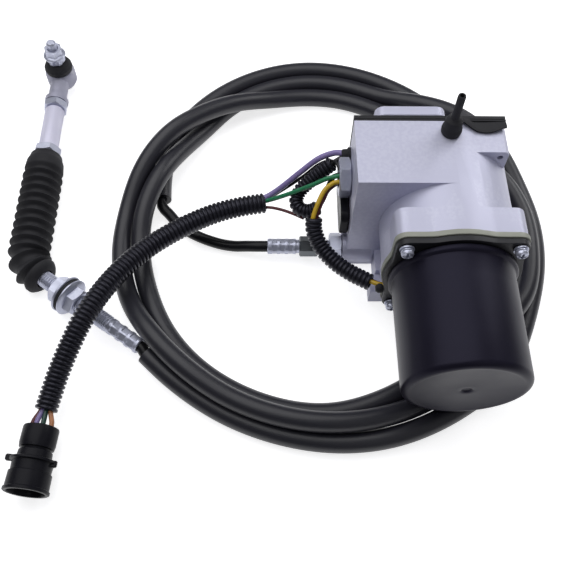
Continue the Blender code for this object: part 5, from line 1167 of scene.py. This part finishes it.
@dataclass
class Plug:
    """The round plug at the loom's end, with its ribs, side latch and open socket."""

    start: Vector = Vector((-0.2120, -0.1273, 0.0125))
    end: Vector = Vector((-0.2153, -0.1604, 0.0121))
    rear: float = 0.0091
    waist: float = 0.0087
    shell: float = 0.0109
    socket: float = 0.0092

    def build(self) -> List[bpy.types.Object]:
        """Makes the plug's body with its latch and ribs.

        Returns:
            The plug's pieces, contact pins among them.
        """
        ahead = (self.end - self.start).normalized()
        length = (self.end - self.start).length
        rear, waist, shell, socket = self.rear, self.waist, self.shell, self.socket
        rows = [(0.004, 0), (0.003, rear - 0.0022), (0.0004, rear - 0.0016), (0, rear - 0.001),
                (0.0003, rear - 0.0002), (0.001, rear), (0.009, rear)]
        shares = [(0.335, rear - 0.0004), (0.345, waist - 0.0010), (0.365, waist - 0.0012),
                  (0.385, waist - 0.0002), (0.49, waist + 0.0001), (0.505, shell + 0.0004),
                  (0.515, shell + 0.0008), (0.545, shell + 0.0008), (0.56, shell - 0.0006),
                  (0.70, shell - 0.0009), (0.715, shell - 0.0001), (0.94, shell), (0.955, shell + 0.0006),
                  (0.99, shell + 0.0006), (1.0, shell + 0.0001), (1.0, socket + 0.0004)]
        rows += [(length * share, radius) for share, radius in shares]
        rows += [(length - 0.0008, socket), (length - 0.0113, socket), (length - 0.0115, 0)]
        body = seat(lathed("plug_shell", self.start, ahead, rows, 64), "housing", PLUG, "plug_body")
        side = ahead.cross(Vector(UP)).normalized()
        things = [body, "contact_pin_1", "contact_pin_2", "contact_pin_3", "contact_pin_4"]
        frame = Matrix((side, ahead, side.cross(ahead))).transposed()
        keys = {"plug_latch": (0.0137, 0.46, 0.56, 0.0030), "plug_key": (-0.0125, 0.50, 0.60, 0.0022)}
        for name, (across, low, high, thick) in keys.items():
            vertices, faces = lozenge(abs(across) - waist + 0.001, (high - low) * length, thick)
            corner = [across if across < 0 else waist - 0.001, low * length, 0.0015 - thick / 2]
            placed = np.array([tuple(self.start + frame @ Vector(v)) for v in vertices + np.array(corner)])
            things.append(seat(soft_object(name, placed, faces), "housing", PLUG))
        profile = [(0, 0), (0, 0.0072), (0.001, 0.0076), (0.0022, 0.0076), (0.003, 0.0070), (0.003, 0)]
        seal = lathed("plug_socket_seal", self.start + ahead * (length - 0.0114), ahead, profile, 40)
        things.append(seat(seal, "housing", RUBBER))
        return things


def lozenge(width: float, depth: float, height: float) -> Tuple[np.ndarray, List[Sequence[int]]]:
    """Returns a small block with cut corners: its points and faces."""
    cut = min(width, depth, height) * 0.22
    outline = [(cut, 0), (width - cut, 0), (width, cut), (width, depth - cut), (width - cut, depth),
               (cut, depth), (0, depth - cut), (0, cut)]
    count = len(outline)
    centre = np.array([width / 2, depth / 2])
    rows = []
    for level, shrink in ((0, cut), (cut, 0), (height - cut, 0), (height, cut)):
        for x, y in outline:
            away = np.array([x, y]) - centre
            spot = centre + away * (1 - shrink / max(np.linalg.norm(away), 1e-9))
            rows.append((spot[0], spot[1], level))
    faces: List[Sequence[int]] = [tuple(range(count))[::-1], tuple(range(3 * count, 4 * count))]
    return np.array(rows), faces + bands(4, count)


@dataclass
class GearCase:
    """The cast case, its rear cover and cap, its rubber flap and the vent."""

    edge: float = 0.0008
    vent: Triple = (-0.5, 10.5, 80.6)
    flap_left: float = 3.4
    flap_width: float = 26.4
    flap_back: float = 19.7
    drum_top: float = 80.75
    drum_end: float = 7.0
    drum_slope: float = 0.42
    lug_top: float = 78.55
    cover_front: float = 21.85

    def build(self, nodes: Dict[str, bpy.types.Object]) -> None:
        """Dresses the CAD castings and adds what is soft or small."""
        CASTING.dress(ease_edges(nodes["gear_case"], self.edge), ease_edges(nodes["sensor_housing"], 0.0011))
        ENAMEL.dress(ease_edges(nodes["rear_cover"], 0.0003, 2))
        RUBBER.dress(nodes["rear_gasket"])
        PLUG.dress(ease_edges(nodes["side_plate"], 0.0009))
        self.flap()
        self.vent_nipple()
        self.cover_screws()

    def flap(self) -> None:
        """Makes the rubber flap that the rear gasket leaves over the upper right lug."""
        steps, rows = 36, 8
        thickness = 0.0011
        vertices = []
        for layer in (0, 1):
            for step in range(steps + 1):
                t = step / steps
                x = self.flap_left + self.flap_width * t
                front = 18.4 - 6.4 * min(1.0, t * 2.4) ** 0.8 + 1.5 * math.sin(t * 7.4 + 0.4) * t
                rest = max(self.lug_top, self.drum_top - max(x - self.drum_end, 0.0) * self.drum_slope)
                lift = 0.5 + 0.7 * math.sin(t * 9.0) * t + 1.0 * t ** 6
                for row in range(rows + 1):
                    s = row / rows
                    y = self.flap_back + (front - self.flap_back) * s
                    swell = math.sin(math.pi * min(s * 0.7, 1.0)) * (0.4 + 0.6 * s)
                    z = rest + 0.15 + max(lift, 0.05) * swell
                    vertices.append((x / 1000, y / 1000, z / 1000 + layer * thickness * (1 - 0.25 * s * s)))
        width = rows + 1
        sheet = (steps + 1) * width
        faces: List[Sequence[int]] = []
        for step in range(steps):
            for row in range(rows):
                a = step * width + row
                faces.append((a, a + 1, a + width + 1, a + width))
                faces.append((sheet + a, sheet + a + width, sheet + a + width + 1, sheet + a + 1))
        rim = list(range(width))
        rim += [step * width + rows for step in range(1, steps + 1)]
        rim += [steps * width + row for row in range(rows - 1, -1, -1)]
        rim += [step * width for step in range(steps - 1, 0, -1)]
        for first, second in zip(rim, rim[1:] + rim[:1]):
            faces.append((first, sheet + first, sheet + second, second))
        seat(soft_object("gasket_flap", np.array(vertices), faces, 50), "housing", RUBBER)

    def vent_nipple(self) -> None:
        """Makes the rubber vent with its bulged foot and slim open stem."""
        rows = [(0, 0), (0, 0.0050), (0.0006, 0.0053), (0.0024, 0.0055), (0.0040, 0.0053), (0.0046, 0.0049),
                (0.0052, 0.0048), (0.0084, 0.0047), (0.0098, 0.0042), (0.0106, 0.0031), (0.0112, 0.0025),
                (0.0130, 0.0022), (0.0200, 0.0021), (0.0262, 0.0021), (0.0271, 0.0019), (0.0273, 0.0016),
                (0.0271, 0.0012), (0.0150, 0.0012), (0.0150, 0)]
        seat(lathed("vent_rubber", mm(*self.vent), UP, rows, 40), "housing", RUBBER, "vent_nipple")

    def cover_screws(self) -> None:
        """Adds the four small screws that hold the rear cover."""
        rows = [(0, 0), (0, 0.0030), (0.0010, 0.0031), (0.0019, 0.0026), (0.0023, 0.0017),
                (0.0023, 0.0015, 1), (0.0010, 0.0014, 1), (0.0010, 0)]
        places = [(-45.2, 74.7), (25.8, 73.9), (-45.2, 5.8), (25.8, 15.1)]
        for index, (x, z) in enumerate(places):
            screw = lathed(f"cover_screw_{index + 1}", mm(x, self.cover_front, z), ALONG_ROD, rows, 36)
            seat(screw, "housing", ZINC)


@dataclass
class Motor:
    """The round motor: spacer, end plate, can and its four screws."""

    front: float = -0.0569
    radius: float = 0.032
    rim: float = 0.0338
    length: float = 0.0635
    bolt: float = 0.0282

    def build(self, nodes: Dict[str, bpy.types.Object]) -> None:
        """Dresses the plates and makes the can, the screws and their washers."""
        SPACER.dress(ease_edges(nodes["motor_spacer"], 0.0004, 2))
        ENAMEL.dress(ease_edges(nodes["motor_end_plate"], 0.0004, 2))
        self.can()
        for index, (side, lift) in enumerate(((-1, 1), (1, 1), (1, -1), (-1, -1))):
            self.screw(index + 1, Vector((side * self.bolt, self.front, AXIS_HEIGHT + lift * self.bolt)))

    def can(self) -> None:
        """Makes the drawn can with its rolled rim, rounded end and centre dimple."""
        outer, rim, length = self.radius, self.rim, self.length
        rows = [(0, outer - 0.002), (0, rim - 0.0003), (0.0003, rim), (0.0022, rim), (0.0029, rim - 0.0004),
                (0.0036, outer + 0.0003), (0.0046, outer), (0.015, outer), (0.030, outer), (0.045, outer)]
        edge = 0.0034
        for step in range(9):
            angle = math.radians(90 * step / 8)
            rows.append((length - edge + edge * math.sin(angle), outer - edge + edge * math.cos(angle)))
        end = [(0.0001, outer - edge - 0.0008), (0.0005, outer - edge - 0.0022), (0.0005, 0.006),
               (0.0004, 0.0040), (0.0006, 0.0030), (0.0013, 0.0022), (0.0014, 0), (0.0034, 0),
               (0.0034, outer - 0.006), (0.006, outer - 0.002)]
        rows += [(length - depth, radius) for depth, radius in end]
        front = Vector((0, self.front, AXIS_HEIGHT))
        can = lathed("motor_can_shell", front, DOWN_MOTOR, rows, 128, closed=True)
        seat(can, "housing", CAN_PAINT, "motor_can")

    def screw(self, number: int, place: Vector) -> None:
        """Makes one pan head screw with a cross recess, a split washer and a plain washer."""
        washers = {
            "screw_washer": [(0, 0.0022), (0, 0.0037), (0.0006, 0.0038), (0.0009, 0.0037), (0.0009, 0.0022)],
            "screw_lock_washer": [(0.0010, 0.0021), (0.0010, 0.0031), (0.0018, 0.0032), (0.0021, 0.0030),
                                  (0.0021, 0.0021)]}
        for name, rows in washers.items():
            seat(lathed(f"{name}_{number}", place, DOWN_MOTOR, rows, 40, closed=True), "housing", ZINC)
        head = 0.0046
        rows = [(-0.006, 0), (-0.006, 0.0019), (0.0022, 0.0019), (0.0022, 0.0030), (0.0025, 0.0032),
                (0.0034, 0.0032), (0.0041, 0.0028), (head, 0.0018), (head + 0.0001, 0.0008),
                (head + 0.0001, 0)]
        pan = lathed(f"screw_head_{number}", place, DOWN_MOTOR, rows)
        seat(pan, "housing", ZINC, f"motor_screw_{number}")
        self.recess(pan, place, head)

    @staticmethod
    def recess(pan: bpy.types.Object, place: Vector, head: float) -> None:
        """Cuts the cross recess into a screw head."""
        parts = []
        for across, along in ((0.0021, 0.0005), (0.0005, 0.0021)):
            points = [(sx * across, -head - sy, sz * along)
                      for sy in (-0.0016, 0.001) for sx in (-1, 1) for sz in (-1, 1)]
            vertices = np.array([tuple(place + Vector(p)) for p in points])
            faces = [(0, 1, 3, 2), (4, 6, 7, 5), (0, 2, 6, 4), (1, 5, 7, 3), (0, 4, 5, 1), (2, 3, 7, 6)]
            parts.append(soft_object("recess_tool", vertices, faces))
        for part in parts:
            cut = pan.modifiers.new("cross", "BOOLEAN")
            cut.operation = "DIFFERENCE"
            cut.solver = "EXACT"
            cut.object = part
        graph = bpy.context.evaluated_depsgraph_get()
        finished = bpy.data.meshes.new_from_object(pan.evaluated_get(graph))
        pan.modifiers.clear()
        pan.data = finished
        for part in parts:
            bpy.data.objects.remove(part)


@dataclass
class CableFittings:
    """The crimped fittings, their threads and nuts at both ends of the cable."""

    axis_y: float = -16.5
    axis_z: float = 9.8
    far: FarAxis = FarAxis()

    def crimp_rows(self, start: float, end: float, radius: float, bands: int) -> List[Tuple[float, ...]]:
        """Returns the rows of a sleeve squeezed to a hexagon in bands.

        Args:
            start: Where the sleeve begins along its axis.
            end: Where it ends.
            radius: The sleeve's radius.
            bands: How many times it was squeezed.

        Returns:
            Rows of distance, radius and share of a hexagon.
        """
        rows = [(start, radius - 0.0005, 0), (start + 0.0005, radius, 0)]
        room = (end - start - 0.003) / bands
        for band in range(bands):
            low = start + 0.0018 + band * room
            high = low + room
            rows += [(low, radius, 0), (low + 0.0006, radius * 0.99, 0.9),
                     (high - 0.0020, radius * 0.99, 0.9), (high - 0.0014, radius, 0)]
        rows += [(end - 0.0005, radius, 0), (end, radius - 0.0005, 0)]
        return rows

    def build(self) -> None:
        """Makes both fittings, the bulkhead nuts and the rubber washer."""
        self.near_end()
        self.far_end()

    def near_end(self) -> None:
        """Makes the lock nut, the adjusting thread, the dark hexagon and the crimped sleeve at the case."""
        nut = hexagon("case_lock_nut", self.near(-53.8), OUT_LEFT, 0.0145, 0.007, 0.0043, 30)
        seat(nut, "housing", ZINC, "near_lock_nut")
        screw = thread("near_thread", self.near(-50), OUT_LEFT, 0.0178, 0.0043, 0.0012, 0.0006)
        seat(screw, "housing", ZINC, "near_fitting")
        dark = [(0, 0), (0, 0.0052, 1), (0.0006, 0.0060, 1), (0.0104, 0.0060, 1), (0.0110, 0.0052, 1),
                (0.0110, 0)]
        seat(lathed("near_hex", self.near(-67.4), OUT_LEFT, dark, turn=30), "housing", DARK_HEX)
        rows = [(0, 0), (0, 0.0040), (0.0016, 0.0041), *self.crimp_rows(0.0018, 0.0188, 0.0046, 3),
                (0.0188, 0.0033), (0.0188, 0)]
        seat(lathed("near_crimp", self.near(-78.3), OUT_LEFT, rows, turn=12), "housing", ZINC)

    def near(self, x: float) -> Vector:
        """Returns the point on the near fitting's axis at a place along X, in millimetres."""
        return mm(x, self.axis_y, self.axis_z)

    def far_end(self) -> None:
        """Makes the crimped sleeve, the long thread, the two flanged nuts and the washer between them."""
        ahead = self.far.ahead()
        rows = [(0, 0), (0, 0.0034), *self.crimp_rows(0.0, 0.0215, 0.0047, 3), (0.0222, 0.0043), (0.0226, 0)]
        seat(lathed("far_crimp", self.far.at(0), ahead, rows, turn=20), "housing", ZINC, "far_fitting")
        screw = thread("bulkhead_thread", self.far.at(0.0215), ahead, 0.0540, 0.0049, 0.0015, 0.0007)
        seat(screw, "housing", ZINC)
        ring = [(0, 0.0049), (0, 0.0101), (0.0003, 0.0104), (0.0013, 0.0104), (0.0016, 0.0101),
                (0.0016, 0.0049)]
        washer = lathed("bulkhead_seal", self.far.at(0.052), ahead, ring, 56, closed=True)
        seat(washer, "housing", RUBBER, "bulkhead_washer")
        self.flanged_nut("inner_bulkhead_nut", self.far.at(0.0517), -ahead, "inner_flange_nut", 10)
        self.flanged_nut("outer_bulkhead_nut", self.far.at(0.0539), ahead, "outer_flange_nut", 32)

    @staticmethod
    def flanged_nut(name: str, start: Vector, direction: Vector, node: str, turn: float) -> None:
        """Makes a hexagon nut on a wide round flange."""
        rows = [(0, 0.0049), (0, 0.0106), (0.0004, 0.0110), (0.0011, 0.0110), (0.0016, 0.0104),
                (0.0026, 0.0076), (0.0028, 0.0049)]
        seat(lathed(f"{name}_flange", start, direction, rows, 64, closed=True), "housing", ZINC, node)
        nut = hexagon(name, start + direction * 0.0012, direction, 0.0145, 0.0066, 0.0049, turn)
        seat(nut, "housing", ZINC, node)


@dataclass
class RodAssembly:
    """The bellows boot, the sliding rod, its nuts, the rod end and the ball stud."""

    x: float = -0.2345
    z: float = 0.0125
    boot_top: float = 0.047
    boot_radius: float = 0.0118
    boot_root: float = 0.0090
    folds: int = 12
    collar: float = 0.0145
    thread_end: float = 0.0755
    tube_top: float = 0.0847
    eye_y: float = 0.1152
    tube_radius: float = 0.006
    boot_step: float = 0.0012
    far: FarAxis = FarAxis()

    def boot_line(self) -> List[Vector]:
        """Returns the boot's bent centreline, from the fitting to the rod."""
        straight_part = [self.far.at(self.thread_end + offset) for offset in (-0.0045, -0.00225, 0.0, 0.001)]
        bend = [self.at(y) + Vector((x, 0, 0))
                for x, y in ((0.0031, -0.0325), (0.0008, -0.0280), (0.0, -0.0228))]
        level = [self.at(y) for y in (-0.008, 0.010, 0.028, self.boot_top)]
        return smooth_path(straight_part + bend + level, self.boot_step)

    def build(self, nodes: Dict[str, bpy.types.Object]) -> None:
        """Makes the boot, rod, nuts, cap and stud."""
        self.boot()
        self.rod()
        self.rod_end(nodes)
        self.stud(nodes)

    def boot(self) -> None:
        """Makes the boot with its rounded folds and plain collars."""
        path = self.boot_line()
        total = length_of(path)
        crest, root = self.boot_radius, self.boot_root
        first, last = 0.006, total - self.collar
        pitch = (last - first) / self.folds
        rows: List[Tuple[float, float]] = [
            (0.0, 0.0056), (0.0, 0.0072), (0.0004, 0.0086), (0.0016, 0.0098), (0.0030, 0.0108),
            (0.0044, 0.0108), (0.0054, 0.0100)]
        for fold in range(self.folds):
            for step in range(10):
                t = step / 10
                swell = math.exp(-((t - 0.5) / 0.2) ** 2)
                rows.append((first + (fold + t) * pitch, root + (crest - root) * swell))
        rows += [(last, root), (last + 0.0012, root + 0.0004), (last + 0.0022, crest - 0.0006),
                 (last + 0.003, crest - 0.0003), (total - 0.0060, crest - 0.0008),
                 (total - 0.0048, crest - 0.0012), (total - 0.0040, 0.0100), (total - 0.0012, 0.0096),
                 (total, 0.0084), (total, 0.0068)]
        inner, inset = root - 0.0014, 0.004
        rows.append((total - inset, inner))
        rows += [(total - (total - inset) * step / 40, inner) for step in range(4, 40)]
        rows.append((inset, inner))
        boot = turned("bellows", path, rows, 44, closed=True, angle=60)
        RUBBER.dress(boot)
        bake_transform(boot)
        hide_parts("bellows_boot")

    def at(self, y: float) -> Vector:
        """Returns the point on the rod's axis at a place along Y."""
        return Vector((self.x, y, self.z))

    def rod(self) -> None:
        """Makes the pale rod tube and the two nuts on it."""
        start, end, radius = self.boot_top - 0.012, self.tube_top, self.tube_radius
        length = end - start
        rows = [(0, 0), (0, radius - 0.0006), (0.0006, radius), (0.014, radius), (length - 0.0012, radius),
                (length - 0.0004, radius - 0.0005), (length, radius - 0.0012), (length, 0)]
        seat(lathed("rod_sleeve", self.at(start), ALONG_ROD, rows, 64), "rod", PALE_ZINC, "rod_tube")
        collar = hexagon("collar_nut", self.at(self.boot_top + 0.0006), ALONG_ROD, 0.0150, 0.005, 0.0061, 40)
        seat(collar, "rod", ZINC, "rod_collar_nut")
        jam = hexagon("jam_nut", self.at(self.tube_top + 0.0003), ALONG_ROD, 0.0135, 0.005, 0.0031, 30)
        seat(jam, "rod", ZINC, "rod_jam_nut")

    def rod_end(self, nodes: Dict[str, bpy.types.Object]) -> None:
        """Dresses the forged rod end and makes its rubber cap."""
        GREY_CAST.dress(ease_edges(nodes["rod_end"], 0.0006, 3, 28))
        rows = [(0.0003, 0.0040), (0.0, 0.0082), (0.0003, 0.0086), (0.0012, 0.0089), (0.0028, 0.0088),
                (0.0034, 0.0083), (0.0042, 0.0081), (0.0052, 0.0074), (0.0060, 0.0065), (0.0066, 0.0058),
                (0.0068, 0.0046), (0.0067, 0.0040)]
        cap = lathed("rod_end_cap", self.eye(0.0188), UP, rows, 56, closed=True)
        seat(cap, "rod", RUBBER, "dust_cap")

    def eye(self, height: float) -> Vector:
        """Returns the point on the ball stud's axis at a height."""
        return Vector((self.x, self.eye_y, height))

    def stud(self, nodes: Dict[str, bpy.types.Object]) -> None:
        """Makes the stud's hexagon, thread and flanged nut, and leaves the ball to the CAD piece."""
        ZINC.dress(ease_edges(nodes["ball_stud"], 0.0003, 2))
        seat(hexagon("stud_hex", self.eye(0.0259), UP, 0.0102, 0.0040, 0.0029, 15), "stud", ZINC)
        seat(thread("stud_thread", self.eye(0.0298), UP, 0.0112, 0.0031, 0.0010, 0.0005, 28), "stud", ZINC)
        skirt = [(0, 0.0031), (0, 0.0066), (0.0004, 0.0069), (0.0010, 0.0069), (0.0015, 0.0064),
                 (0.0022, 0.0052), (0.0024, 0.0031)]
        flange = lathed("stud_nut_flange", self.eye(0.0302), UP, skirt, closed=True)
        seat(flange, "stud", ZINC, "stud_nut")
        seat(hexagon("stud_lock_nut", self.eye(0.0312), UP, 0.0100, 0.0052, 0.0031), "stud", ZINC, "stud_nut")


@dataclass
class InnerWorks:
    """Finishes of the pieces inside the case, which stay as the CAD has them."""

    def build(self, nodes: Dict[str, bpy.types.Object]) -> None:
        """Gives each inner piece its own finish."""
        finishes = {
            STEEL: ("idler_pin", "output_gear", "output_shaft", "fork_lever", "armature_stack", "motor_shaft",
                    "motor_pinion", "crosshead", "cable_core", "rod_core"),
            FERRITE: ("magnet_left", "magnet_right"), PHENOLIC: ("brush_ring",),
            CARBON: ("brush_left", "brush_right"),
            BRASS: ("rear_bush", "front_bush", "idler_cluster", "contact_pin_1", "contact_pin_2",
                    "contact_pin_3", "contact_pin_4"),
            COPPER: ("commutator",), PLUG: ("position_sensor",)}
        for finish, names in finishes.items():
            for name in names:
                finish.dress(nodes[name])
                LOG.info("node %s keeps its shape with finish %s", name, finish.name)


def write_size() -> None:
    """Updates the view layer."""
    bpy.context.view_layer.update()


def main() -> None:
    """Loads the frame and builds the studio, the cords and each sub-assembly in order."""
    logging.basicConfig(level=logging.INFO, format="%(name)s: %(message)s")
    for thing in list(bpy.data.objects):
        bpy.data.objects.remove(thing)
    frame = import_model()
    nodes = frame["nodes"]
    bpy.context.scene.view_settings.view_transform = "Standard"
    Studio().build()
    PushPullCable().build()
    Wiring().build()
    steps: List[Callable[[Dict[str, bpy.types.Object]], None]] = [
        GearCase().build, Motor().build, RodAssembly().build, InnerWorks().build]
    for step in steps:
        step(nodes)
    CableFittings().build()
    write_size()


if __name__ == "__main__":
    main()
